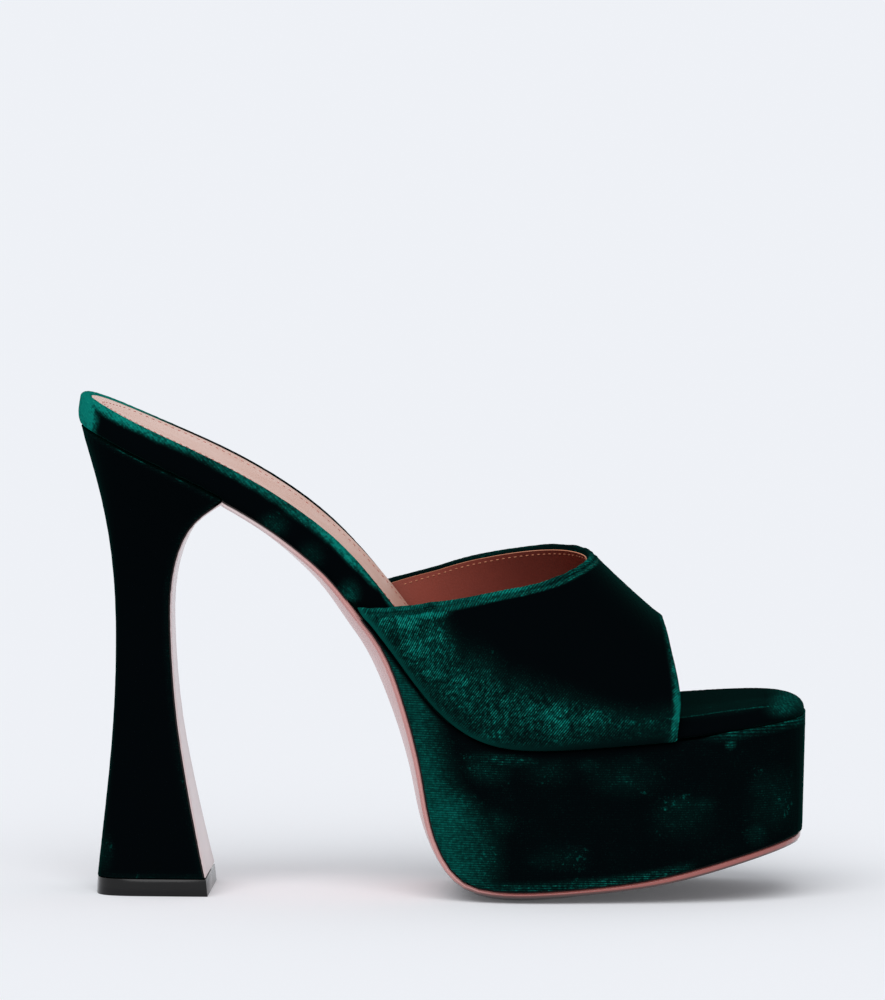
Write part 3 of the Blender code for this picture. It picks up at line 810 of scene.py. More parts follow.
class Nodes:
    """Adds linked nodes to one node tree."""

    def __init__(self, tree):
        self.tree = tree

    def add(self, kind, **options):
        node = self.tree.nodes.new("ShaderNode" + kind)
        for name, value in options.items():
            setattr(node, name, value)
        return node

    def feed(self, socket, value):
        """Sets a socket to a value, or links another socket to it."""
        if isinstance(value, bpy.types.NodeSocket):
            self.tree.links.new(value, socket)
        elif isinstance(value, (int, float)):
            socket.default_value = value
        elif len(value) == len(socket.default_value):
            socket.default_value = value
        else:
            socket.default_value = (*value, 1.0)

    def math(self, operation, *values, clamp=False):
        node = self.add("Math", operation=operation, use_clamp=clamp)
        for socket, value in zip(node.inputs, values):
            self.feed(socket, value)
        return node.outputs[0]

    def times(self, first, *others):
        """The product of some sockets and numbers."""
        for other in others:
            first = self.math("MULTIPLY", first, other)
        return first

    def step(self, value, low, high):
        """A smooth step from 0 at low to 1 at high."""
        node = self.add("MapRange", interpolation_type="SMOOTHSTEP")
        self.feed(node.inputs["Value"], value)
        self.feed(node.inputs["From Min"], low)
        self.feed(node.inputs["From Max"], high)
        return node.outputs[0]

    def mix(self, share, first, second):
        node = self.add("Mix", data_type="RGBA")
        factor, colour_a, colour_b = (node.inputs[i] for i in (0, 6, 7))
        self.feed(factor, share)
        self.feed(colour_a, first)
        self.feed(colour_b, second)
        return node.outputs[2]

    def noise(self, vector, scale, detail):
        node = self.add("TexNoise")
        self.feed(node.inputs["Vector"], vector)
        self.feed(node.inputs["Scale"], scale)
        self.feed(node.inputs["Detail"], detail)
        return node.outputs[0]

    def cells(self, vector, scale):
        node = self.add("TexVoronoi")
        self.feed(node.inputs["Vector"], vector)
        self.feed(node.inputs["Scale"], scale)
        return node.outputs["Distance"]

    def vector(self, x, y):
        node = self.add("CombineXYZ")
        self.feed(node.inputs["X"], x)
        self.feed(node.inputs["Y"], y)
        return node.outputs[0]

    def place(self):
        """Object coordinates."""
        return self.add("TexCoord").outputs["Object"]

    def attribute(self, name):
        return self.add("Attribute", attribute_name=name).outputs["Fac"]

    def group(self, tree, **values):
        node = self.add("Group")
        node.node_tree = tree
        for name, value in values.items():
            self.feed(node.inputs[name], value)
        return node.outputs

    def bump(self, height, strength, depth):
        node = self.add("Bump")
        self.feed(node.inputs["Height"], height)
        self.feed(node.inputs["Strength"], strength)
        self.feed(node.inputs["Distance"], depth)
        return node.outputs[0]


FLOAT, COLOUR, VECTOR = "NodeSocketFloat", "NodeSocketColor", "NodeSocketVector"


def node_group(name, inputs, outputs):
    """An empty node group with named sockets: its nodes, its input sockets and its output node."""
    tree = bpy.data.node_groups.new(name, "ShaderNodeTree")
    for label, kind in inputs.items():
        tree.interface.new_socket(label, in_out="INPUT", socket_type=kind)
    for label, kind in outputs.items():
        tree.interface.new_socket(label, in_out="OUTPUT", socket_type=kind)
    entry = tree.nodes.new("NodeGroupInput")
    exit_node = tree.nodes.new("NodeGroupOutput")
    return Nodes(tree), entry.outputs, exit_node.inputs


def pile_group():
    """Velvet pile: its colour from painted shade to painted light, laid with the lie of the pile, broken up
    by specks and by fibres with painted glints.
    """
    if "pile" in bpy.data.node_groups:
        return bpy.data.node_groups["pile"]
    inputs = {
        "Vector": VECTOR,
        "Nap": FLOAT,
        "Bare": FLOAT,
        "Rib": FLOAT,
        "Depth": FLOAT,
        "Dark": COLOUR,
        "Lit": COLOUR,
        "Bright": COLOUR,
    }
    nodes, given, out = node_group("pile", inputs, {"Colour": COLOUR, "Height": FLOAT})
    nap, rib = given["Nap"], given["Rib"]
    blotch = nodes.noise(given["Vector"], BLOTCHES, detail=3.0)
    speck = nodes.noise(given["Vector"], SPECKS, detail=3.0)
    fibre = nodes.noise(given["Vector"], FIBRES, detail=1.0)
    loose = nodes.math("SUBTRACT", 1.0, given["Bare"])
    rough = nodes.times(nodes.step(nap, *ROUGH_NAP), loose)
    specks = nodes.times(nodes.math("SUBTRACT", nodes.step(speck, *SPECK_STEP), 0.5), rough)
    broad = nodes.times(nodes.math("SUBTRACT", blotch, 0.5), loose)
    stray = nodes.math("ADD", broad, nodes.math("MULTIPLY_ADD", specks, SPECK_STRENGTH, 1.0))
    between = nodes.times(nodes.math("SUBTRACT", 0.5, rib), given["Depth"])
    ribbed = nodes.math("SUBTRACT", 1.0, nodes.times(between, rough))
    # Lone specks of painted light where the painted light only begins
    turning = nodes.times(nodes.step(nap, *TURNING_FROM), nodes.step(nap, *TURNING_TO))
    sparse = nodes.times(nodes.step(speck, *LONE_SPECK), nodes.step(blotch, *LONE_BLOTCH))
    lone = nodes.times(sparse, turning, loose, LONE_STRENGTH)
    lit_share = nodes.math("MULTIPLY_ADD", nap, nodes.times(stray, ribbed), lone, clamp=True)
    base = nodes.mix(nodes.math("POWER", lit_share, LIT_POWER), given["Dark"], given["Lit"])
    # Painted glints on single fibres where the painted light is strong
    tips = nodes.times(nodes.step(fibre, *TIP_FIBRE), rib)
    shine = nodes.times(nodes.math("POWER", lit_share, TIP_POWER), loose, TIP_STRENGTH)
    nodes.feed(out["Colour"], nodes.mix(nodes.times(tips, shine), base, given["Bright"]))
    nodes.feed(out["Height"], nodes.math("MULTIPLY_ADD", speck, SPECK_HEIGHT, fibre))
    return nodes.tree


def rib_group():
    """Rows of the weave, wavering and broken into dashes, from two places on the cloth."""
    if "ribs" in bpy.data.node_groups:
        return bpy.data.node_groups["ribs"]
    inputs = {"Across": FLOAT, "Along": FLOAT, "Pitch": FLOAT}
    nodes, given, out = node_group("ribs", inputs, {"Rib": FLOAT})
    rows = nodes.math("DIVIDE", given["Across"], given["Pitch"])
    dashes = nodes.math("DIVIDE", nodes.math("DIVIDE", given["Along"], given["Pitch"]), DASH_LENGTH)
    cloth = nodes.vector(rows, dashes)
    waver = nodes.times(nodes.noise(cloth, WAVER_SCALE, detail=1.0), WAVER_SIZE)
    wave = nodes.math("SINE", nodes.math("MULTIPLY_ADD", rows, math.tau, waver))
    dash = nodes.step(nodes.noise(cloth, DASH_SCALE, detail=1.0), *DASH_STEP)
    broken = nodes.math("MULTIPLY_ADD", dash, 1.0 - DASH_GAP, DASH_GAP)
    nodes.feed(out["Rib"], nodes.times(nodes.step(wave, *ROW_STEP), broken))
    return nodes.tree


def grain_group():
    """Smooth leather: fine pebbles and a slow change of tone."""
    if "grain" in bpy.data.node_groups:
        return bpy.data.node_groups["grain"]
    inputs = {"Vector": VECTOR, "Pebbles": FLOAT}
    nodes, given, out = node_group("grain", inputs, {"Tone": FLOAT, "Height": FLOAT})
    pebble = nodes.cells(given["Vector"], given["Pebbles"])
    fine = nodes.noise(given["Vector"], GRAIN_FINE, detail=2.0)
    slow = nodes.noise(given["Vector"], GRAIN_SLOW, detail=3.0)
    slow_part = nodes.times(slow, 1.0 - GRAIN_FINE_SHARE)
    nodes.feed(out["Tone"], nodes.math("MULTIPLY_ADD", fine, GRAIN_FINE_SHARE, slow_part))
    nodes.feed(out["Height"], nodes.math("MULTIPLY_ADD", fine, GRAIN_FINE_HEIGHT, pebble))
    return nodes.tree


def new_material(name):
    """A material with its nodes and its Principled shader."""
    material = bpy.data.materials.new(name)
    material.use_nodes = True
    return material, Nodes(material.node_tree), material.node_tree.nodes["Principled BSDF"]


def velvet(name, rib_pitch, rib_depth):
    """Velvet that reads its painted light and shade, laid with the lie of its pile, from the piece's own
    attributes.
    """
    colours = bpy.context.scene.mule_velvet
    material, nodes, shader = new_material(name)
    place = nodes.place()
    across, along = nodes.attribute("across"), nodes.attribute("along")
    ribs = nodes.group(rib_group(), Across=across, Along=along, Pitch=rib_pitch)
    pile = nodes.group(
        pile_group(),
        Vector=place,
        Nap=nodes.attribute("nap"),
        Bare=nodes.attribute("bare"),
        Rib=ribs["Rib"],
        Depth=rib_depth,
        Dark=colours.dark,
        Lit=colours.lit,
        Bright=colours.bright,
    )
    nodes.feed(shader.inputs["Base Color"], pile["Colour"])
    nodes.feed(shader.inputs["Normal"], nodes.bump(pile["Height"], strength=0.35, depth=VELVET_RELIEF))
    shader.inputs["Roughness"].default_value = 0.95
    shader.inputs["Specular IOR Level"].default_value = 0.0
    shader.inputs["Sheen Weight"].default_value = 0.06
    shader.inputs["Sheen Roughness"].default_value = 0.30
    shader.inputs["Sheen Tint"].default_value = (*colours.sheen, 1.0)
    return material


def leather(
    name, first, second, roughness, pebbles, bump, by="tone", coat=0.0, specular=0.5, layers=(), matte=None
):
    """Leather between two colours, by its tone or an attribute of the piece.

    Layers are further attributes with their colours, and matte is an attribute that takes off the gloss.
    """
    material, nodes, shader = new_material(name)
    grain = nodes.group(grain_group(), Vector=nodes.place(), Pebbles=pebbles)
    tone = nodes.step(grain["Tone"], *TONE_STEP)
    share = tone if by == "tone" else nodes.attribute(by)
    worn = nodes.math("MULTIPLY_ADD", nodes.math("SUBTRACT", tone, 0.5), TONE_WEAR, share, clamp=True)
    finish = nodes.mix(worn, first, second)
    for attribute, tint in layers:
        finish = nodes.mix(nodes.attribute(attribute), finish, tint)
    gloss = nodes.math("MULTIPLY_ADD", tone, GLOSS_SPREAD, roughness - GLOSS_SPREAD / 2.0)
    if matte:
        dull = nodes.attribute(matte)
        gloss = nodes.math("MAXIMUM", gloss, dull)
        coat = nodes.math("MULTIPLY_ADD", dull, -coat, coat)
    nodes.feed(shader.inputs["Base Color"], finish)
    nodes.feed(shader.inputs["Roughness"], gloss)
    nodes.feed(shader.inputs["Normal"], nodes.bump(grain["Height"], strength=bump, depth=LEATHER_RELIEF))
    nodes.feed(shader.inputs["Coat Weight"], coat)
    shader.inputs["Specular IOR Level"].default_value = specular
    shader.inputs["Coat Roughness"].default_value = 0.12
    return material


def shaded(base, share):
    """A colour with only a share of its light."""
    return tuple(channel * share for channel in base)


def thread(name, base):
    """Twisted thread, with painted shade between its strands."""
    material, nodes, shader = new_material(name)
    strand = nodes.noise(nodes.place(), STRANDS, detail=1.0)
    finish = nodes.mix(nodes.step(strand, *STRAND_STEP), shaded(base, STRAND_SHADE), base)
    nodes.feed(shader.inputs["Base Color"], finish)
    nodes.feed(shader.inputs["Normal"], nodes.bump(strand, strength=0.3, depth=LEATHER_RELIEF))
    shader.inputs["Roughness"].default_value = 0.8
    shader.inputs["Specular IOR Level"].default_value = 0.05
    return material


# Pieces


class MULE_OT_make_stage(bpy.types.Operator):
    """Makes the pale floor, the soft light and the photograph's camera"""

    bl_idname = "mule.make_stage"
    bl_label = "Stage"

    def execute(self, context):
        stage = context.scene.mule_stage
        bpy.ops.object.select_all(action="DESELECT")
        bpy.ops.mesh.primitive_plane_add(size=stage.floor_size)
        floor = context.object
        floor.name = "floor"
        material, _, shader = new_material("floor")
        shader.inputs["Base Color"].default_value = (*stage.floor, 1.0)
        shader.inputs["Roughness"].default_value = 1.0
        shader.inputs["Specular IOR Level"].default_value = 0.0
        shader.inputs["Emission Color"].default_value = (*stage.floor, 1.0)
        shader.inputs["Emission Strength"].default_value = stage.glow
        floor.data.materials.append(material)
        self.light(context, stage)
        self.aim_camera(context, stage)
        return {"FINISHED"}

    def light(self, context, stage):
        """Adds the soft main light and the pale studio, which is dimmer as light than in gloss."""
        bpy.ops.object.light_add(type="SUN")
        key = context.object
        key.name = "key_light"
        key.rotation_euler = Vector(stage.key_from).to_track_quat("Z", "Y").to_euler()
        key.data.energy = stage.key
        key.data.angle = stage.key_angle
        world = bpy.data.worlds.new("studio")
        context.scene.world = world
        world.use_nodes = True
        nodes = Nodes(world.node_tree)
        background = world.node_tree.nodes["Background"]
        background.inputs["Color"].default_value = (*stage.sky, 1.0)
        diffuse = nodes.add("LightPath").outputs["Is Diffuse Ray"]
        dimming = nodes.math("MULTIPLY_ADD", diffuse, stage.fill - stage.mirror, stage.mirror)
        nodes.feed(background.inputs["Strength"], dimming)
        context.scene.view_settings.view_transform = "Standard"

    def aim_camera(self, context, stage):
        """Adds the camera, at the picture's scale in the plane of its aim."""
        bpy.ops.object.camera_add()
        camera = context.object
        camera.name = "camera"
        around, above = stage.azimuth, stage.elevation
        level = Vector((math.sin(around), -math.cos(around), 0.0))
        back = math.cos(above) * level + Vector((0.0, 0.0, math.sin(above)))
        camera.location = Vector(stage.aim) + stage.distance * back
        camera.rotation_euler = back.to_track_quat("Z", "Y").to_euler()
        camera.data.sensor_fit = "VERTICAL"
        camera.data.sensor_height = SENSOR_HEIGHT
        camera.data.lens = SENSOR_HEIGHT * PICTURE_SCALE * stage.distance / PICTURE_HEIGHT
        camera.data.clip_end = stage.floor_size * 2.0
        context.scene.camera = camera


def band_edges(piece):
    """The band's edge lines: throat, front and hems, on its outside and on its inside."""
    runs = sharp_runs(piece)
    across = []
    hems = []
    for run in runs:
        if len(run) > 2 and np.ptp(run[:, 1]) > ACROSS_SHARE * np.ptp(run[:, 0]):
            across.append(run if run[0, 1] < run[-1, 1] else run[::-1])
        elif len(run) > 2:
            hems.append(run)
    across.sort(key=lambda run: run[:, 0].mean())
    throat_inside, throat_outside = sorted(across[:2], key=run_length)
    front_inside, front_outside = sorted(across[2:], key=run_length)
    return {
        "throat": throat_outside,
        "front": front_outside,
        "hems": hems,
        "throat inside": throat_inside,
        "front inside": front_inside,
    }


def edge_runs(node, read=sharp_runs):
    """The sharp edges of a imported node."""
    pattern = copy_of(node, node + "_pattern")
    runs = read(pattern)
    bpy.data.objects.remove(pattern)
    return runs


def band_lines():
    """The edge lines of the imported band."""
    return edge_runs("upper", band_edges)


def inner_side(points):
    """How far each point belongs to the inner side of the shoe, from 0 to 1."""
    return ramp(points[:, 1], *INNER_SIDE)


def raise_topline(points, from_throat, inner):
    """Lifts the topline to its full height, its inner side by the column of that name."""
    height = read_table(TOPLINE_RISE, points[:, 0], "at", "outer")
    height += (read_table(TOPLINE_RISE, points[:, 0], "at", inner) - height) * inner_side(points)
    points[:, 2] += height * ramp(from_throat, TOPLINE_RAISED, 0.0)


def round_the_band(points):
    """Places round the band's girth, from its outer side over the ridge to its inner side."""
    return BAND_GIRTH_RADIUS * np.arctan2(points[:, 2] - BAND_AXIS[1], BAND_AXIS[0] - points[:, 1])


class MULE_OT_make_upper(bpy.types.Operator):
    """Makes the velvet band with its folded topline, pulled hem and pile with painted light and shade"""

    bl_idname = "mule.make_upper"
    bl_label = "Upper"

    def execute(self, context):
        upper = copy_of("upper", "upper_velvet")
        edges = band_edges(upper)
        round_edges(upper, width=0.0006, segments=3)
        refine(upper)
        divide_near(upper, [edges["throat"]], TOPLINE_FINE, cuts=1)
        points = points_of(upper)
        from_throat = distance_to(points, [edges["throat"]])
        from_front = distance_to(points, [edges["front"]])
        from_hem = distance_to(points, edges["hems"])
        self.shape(upper, points, from_throat, from_front)
        self.paint_pile_light(upper, points, from_throat, from_front, from_hem)
        smooth_shade(upper)
        upper.data.materials.append(velvet("upper_velvet", rib_pitch=0.00062, rib_depth=1.00))
        settle(upper, "upper_velvet", "upper")
        return {"FINISHED"}

    def shape(self, upper, points, from_throat, from_front):
        """Presses in the topline's groove and the creases, waves the topline and rolls the front edge."""
        normals = normals_of(upper)
        radial = points[:, 1:] - BAND_AXIS
        radial /= np.linalg.norm(radial, axis=1)[:, None]
        faces_out = ramp((normals[:, 1:] * radial).sum(axis=1), *FACING_OUT)
        groove = GROOVE_DEPTH * bell(from_throat - GROOVE_AT, GROOVE_WIDTH)
        sink = (groove + press(points, UPPER_CREASES)) * faces_out
        moved = ruffled(points, normals) - sink[:, None] * normals
        first, second = (np.sin(math.tau * round_the_band(points) / span) for span in EDGE_WAVE_LENGTHS)
        moved[:, 2] += EDGE_WAVE * first * second * ramp(from_throat, TOPLINE_WIDTH, 0.0)
        raise_topline(moved, from_throat, "inner")
        above_hem = ramp(points[:, 2], *FRONT_ROLL_UP)
        moved[:, 0] += FRONT_ROLL * above_hem * ramp(from_front, FRONT_ROLL_REACH, 0.0)
        set_points(upper, moved)

    def paint_pile_light(self, upper, points, from_throat, from_front, from_hem):
        """Paints light on the pile: painted light low on the sides, painted highlights along the topline and
        the front edge, and on the bare hem.
        """
        x, _, z = points.T
        line, soft, strength = (read_table(UPPER_SHADE, x, "x", name) for name in ("z", "soft", "lift"))
        below = ramp(z, line + soft, line - soft)
        lit = np.maximum(strength * below, patch_lift(points, UPPER_PATCHES))
        lit *= 1.0 - HEM_FADE * ramp(from_hem, *HEM_FADE_REACH)
        lit *= ramp(from_throat, CREST_AT, CREST_AT + TOPLINE_SOFT)
        strip = ramp(from_throat, TOPLINE_WIDTH, TOPLINE_WIDTH - TOPLINE_SOFT)
        topline = strip * self.topline_lift(x, from_throat)
        # Painted shade: the topline's painted highlight is dimmer on the inner side
        topline *= 1.0 - TOPLINE_INNER_DIM * inner_side(points)
        front = read_table(FRONT_LEVELS, z, "at", "lift") * ramp(from_front, *FRONT_LIT)
        hem = ramp(from_hem, *HEM_BARE) * ramp(from_front, *HEM_BARE_END)
        nap = np.maximum.reduce([lit, topline, front]) * (1.0 - hem)
        nap += read_table(HEM_LEVELS, x, "at", "lift") * hem
        bare = np.maximum(hem, TOPLINE_BARE * strip)
        around = round_the_band(points)
        rise, run = math.sin(WEAVE_RISE), math.cos(WEAVE_RISE)
        lay_nap_and_painted_light(upper, nap, across=around * run - x * rise, along=around * rise + x * run, bare=bare)

    def topline_lift(self, x, from_throat):
        """How strongly painted light lies on the folded topline: its edge, its groove and the crest under the
        stitches.
        """
        edge, groove, crest = (
            read_table(TOPLINE_FOLD, x, "at", name) for name in ("edge", "groove", "crest")
        )
        roll = ramp(from_throat, GROOVE_AT, GROOVE_AT - TOPLINE_SOFT)
        ride = bell(from_throat - CREST_AT, CREST_WIDTH)
        return groove + (edge - groove) * roll + (crest - groove) * ride


class MULE_OT_make_lining(bpy.types.Operator):
    """Makes the leather lining inside the band, with its cut edge"""

    bl_idname = "mule.make_lining"
    bl_label = "Lining"

    def execute(self, context):
        colours = context.scene.mule_leather
        lining = copy_of("upper", "lining")
        _, _, inner_face, _ = surface_of(lining).ray_cast(BAND_INSIDE, Vector((0.0, 0.0, 1.0)))
        self.keep_inner_wall(lining, inner_face)
        inside = leather(
            "lining_leather",
            colours.lining_rear,
            colours.lining_painted_shade,
            roughness=0.5,
            pebbles=1300.0,
            bump=0.25,
            by="forward",
        )
        cut = leather(
            "lining_cut_edge",
            colours.cut_edge,
            colours.lining_thread,
            roughness=0.8,
            pebbles=2600.0,
            bump=0.4,
        )
        lining.data.materials.append(inside)
        lining.data.materials.append(cut)
        refine(lining)
        self.trim(lining)
        points = points_of(lining)
        raise_topline(points, distance_to(points, [band_lines()["throat inside"]]), "lining")
        set_points(lining, points)
        finish_with(lining, "SOLIDIFY", thickness=LINING_WALL, offset=1.0, material_offset_rim=1)
        # Painted shade: the lining turns to its darker colour towards the front, far inside the band
        low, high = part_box("upper")
        dark_from = low.x + LINING_DARK_SHARE * (high.x - low.x)
        set_attribute(lining, "forward", ramp(points_of(lining)[:, 0], low.x, dark_from))
        smooth_shade(lining)
        settle(lining, "insole_leather")
        return {"FINISHED"}

    def keep_inner_wall(self, lining, inner_face):
        """Leaves the wall that one face belongs to, and deletes the rest."""
        edit_with(lining, "FACE", [inner_face])
        bpy.ops.mesh.faces_select_linked_flat(sharpness=SHARP_ANGLE)
        bpy.ops.mesh.select_all(action="INVERT")
        bpy.ops.mesh.delete(type="FACE")
        close_edit()

    def trim(self, lining):
        """Takes off what the footbed hides and a strip along the edges, and gives the rest a cut edge."""
        points = points_of(lining)
        at, rim = top_line(points_of(bpy.data.objects["footbed_velvet"]))
        below = points[:, 2] < np.interp(points[:, 0], at, rim) - LINING_TUCK
        hidden = [face.index for face in lining.data.polygons if below[face.vertices].all()]
        edit_with(lining, "FACE", hidden)
        bpy.ops.mesh.delete(type="FACE")
        bpy.ops.mesh.select_all(action="SELECT")
        bpy.ops.mesh.inset(thickness=LINING_INSET, use_boundary=True)
        bpy.ops.mesh.select_all(action="INVERT")
        bpy.ops.mesh.delete(type="FACE")
        bpy.ops.mesh.select_all(action="SELECT")
        bpy.ops.mesh.inset(thickness=LINING_EDGE, use_boundary=True)
        bpy.ops.mesh.select_all(action="INVERT")
        lining.active_material_index = 1
        bpy.ops.object.material_slot_assign()
        bpy.ops.mesh.select_all(action="SELECT")
        bpy.ops.transform.shrink_fatten(value=LINING_LIFT)
        close_edit()


def hem_shadow(points):
    """The painted shadow beside the band's hem: how much light is left at each point, from 0 to 1."""
    return ramp(distance_to(points, band_lines()["hems"]), *HEM_SHADOW)


class MULE_OT_make_footbed(bpy.types.Operator):
    """Makes the velvet-wrapped footbed with the painted highlight on its rim"""

    bl_idname = "mule.make_footbed"
    bl_label = "Footbed"

    def execute(self, context):
        footbed = copy_of("footbed", "footbed_velvet")
        refine(footbed)
        highlight_line = np.array([(spot.x, spot.y, spot.z) for spot in TOE_HIGHLIGHT_LINE])
        highlight_lines = [highlight_line, highlight_line * (1.0, -1.0, 1.0)]
        divide_near(footbed, highlight_lines, TOE_HIGHLIGHT_REACH, cuts=3)
        points, normals = points_of(footbed), normals_of(footbed)
        depth, slope = self.below_rim(points)
        self.paint_pile_light(footbed, points, depth, highlight_lines)
        points += self.padding(points, normals, slope)[:, None] * normals + self.underside(points, normals)
        set_points(footbed, ruffled(points, normals))
        smooth_shade(footbed)
        footbed.data.materials.append(velvet("footbed_velvet", rib_pitch=0.0009, rib_depth=0.25))
        settle(footbed, "footbed_velvet", "footbed")
        return {"FINISHED"}

    def paint_pile_light(self, footbed, points, depth, highlight_lines):
        """Paints light on the pile: highlights along the rim and the heel's back, and along the toe's crest
        and seam.
        """
        x, y, z = points.T
        reach = read_table(FOOTBED_RIM, x, "at", "reach")
        rim = read_table(FOOTBED_RIM, x, "at", "lift") * ramp(depth, reach, RIM_CORE * reach)
        # Painted shade: the rim's highlight is dimmer on the inner side
        rim *= 1.0 - FAR_RIM_DIM * inner_side(points) * ramp(x, *FAR_RIM_DIMMED)
        ragged = HEEL_BACK_WAVE * uneven(points, HEEL_BACK_CELL)
        heel_back = HEEL_BACK_LIFT * ramp(x - ragged, *HEEL_BACK)
        ridge = TOE_HIGHLIGHT_LIFT * bell(distance_to(points, highlight_lines), TOE_HIGHLIGHT_WIDTH)
        from_seam = distance_to(points, edge_runs("platform"))
        seam = TOE_SEAM_LIFT * ramp(from_seam, TOE_SEAM_WIDTH, 0.0) * ramp(x, *TOE_SEAM_ALONG)
        nap = np.maximum.reduce([rim, heel_back, ridge, seam, patch_lift(points, FOOTBED_PATCHES)])
        lay_nap_and_painted_light(footbed, nap * hem_shadow(points), across=x + z, along=y, bare=FOOTBED_BARE)

    def below_rim(self, points):
        """How far each point lies below the rim of its side, square to it, and the rim's slope there."""
        outer = points[:, 1] < 0.0
        depth, slope = np.empty((2, len(points)))
        for side in (outer, ~outer):
            x, _, z = points[side].T
            at, height = top_line(points[side])
            slope[side] = np.interp(x, at, np.gradient(height, at))
            sheer = RIM_STEP * np.abs(slope[side])
            depth[side] = (np.interp(x, at, height) - sheer - z) / np.hypot(1.0, slope[side])
        return depth, slope

    def padding(self, points, normals, slope):
        """How far the rim stands up beside the insole."""
        insole = surface_of(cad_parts["insole"])
        hits = [insole.ray_cast(Vector(point) + SEAT_HEIGHT, -SEAT_HEIGHT) for point in points]
        free = np.array([hit[0] is None for hit in hits])
        level_with = (normals[:, 2] - slope * normals[:, 0]) / np.hypot(1.0, slope)
        upturned = ramp(level_with, *UPTURNED) * free
        outer = read_table(FOOTBED_RIM, points[:, 0], "at", "outer_rise")
        inner = read_table(FOOTBED_RIM, points[:, 0], "at", "inner_rise")
        return upturned * (outer + (inner - outer) * inner_side(points))

    def underside(self, points, normals):
        """How far the underside is let down to the sole, as vectors."""
        way, gaps = way_to(points, [surface_of(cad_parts["outsole"])])
        facing = (normals * way).sum(axis=1) / np.maximum(gaps, MERGE_DISTANCE)
        pull = SEAM_PULL * ramp(gaps, *UNDERSIDE_GAP) * ramp(facing, *FACING_SOLE)
        return pull[:, None] * way


class MULE_OT_make_insole(bpy.types.Operator):
    """Makes the leather insole"""

    bl_idname = "mule.make_insole"
    bl_label = "Insole"

    def execute(self, context):
        colours = context.scene.mule_leather
        insole = copy_of("insole", "insole_leather")
        round_edges(insole, width=0.00025, segments=2)
        refine(insole)
        low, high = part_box("insole")
        set_attribute(insole, "forward", ramp(points_of(insole)[:, 0], low.x, high.x))
        smooth_shade(insole)
        finish = leather(
            "insole_leather",
            colours.insole_rear,
            colours.insole_front,
            roughness=0.5,
            pebbles=1100.0,
            bump=0.2,
            by="forward",
        )
        insole.data.materials.append(finish)
        settle(insole, "insole_leather", "insole")
        return {"FINISHED"}


class MULE_OT_make_platform(bpy.types.Operator):
    """Makes the velvet-covered platform, with painted light along its back and speckled on its sides"""

    bl_idname = "mule.make_platform"
    bl_label = "Platform"

    def execute(self, context):
        platform = copy_of("platform", "platform_velvet")
        edges = sharp_runs(platform)
        self.divide_walls(platform)
        refine(platform, "SIMPLE")
        points = points_of(platform)
        x, _, z = points.T
        from_edge = distance_to(points, edges)
        welt = ramp(from_edge, WELT_WIDTH, 0.0) * ramp(x, *WELT_ALONG) * (z > WELT_ABOVE)
        self.paint_pile_light(platform, points, from_edge, welt)
        points = ruffled(points, normals_of(platform))
        points[:, 2] += WELT_HEIGHT * welt
        set_points(platform, points)
        smooth_shade(platform)
        platform.data.materials.append(velvet("platform_velvet", rib_pitch=0.0007, rib_depth=0.85))
        settle(platform, "platform_velvet", "platform")
        return {"FINISHED"}

    def paint_pile_light(self, platform, points, from_edge, welt):
        """Paints light on the pile: along the back, the low edge and the welt, and in patches on the sides.
        """
        x, _, z = points.T
        border, soft, strength = (
            read_table(PLATFORM_SHADE, z, "z", name) for name in ("x", "soft", "lift")
        )
        back = strength * ramp(x, border + soft, border - soft)
        low_rim = LOW_RIM_LIFT * ramp(from_edge, *LOW_RIM_WIDTH) * ramp(x, *LOW_RIM_ALONG)
        low_rim *= z < LOW_RIM_BELOW
        patches = patch_lift(points, PLATFORM_PATCHES)
        nap = np.maximum.reduce([back, patches, low_rim, WELT_LIFT * welt, np.full(len(x), MOTTLED)])
        bare = BACK_BARE * ramp(back, *BACK_BARE_LIFT)
        lay_nap_and_painted_light(platform, nap * hem_shadow(points), across=z, along=x, bare=bare)

    def divide_walls(self, platform):
        """Cuts the tall wall faces into rows."""
        points = points_of(platform)
        upright = []
        for edge in platform.data.edges:
            start, end = (points[i] for i in edge.vertices)
            if abs(start[2] - end[2]) > WALL_STEP and abs(start[1] - end[1]) < WALL_STEP:
                upright.append(edge.index)
        edit_with(platform, "EDGE", upright)
        bpy.ops.mesh.subdivide(number_cuts=WALL_CUTS)
        close_edit()


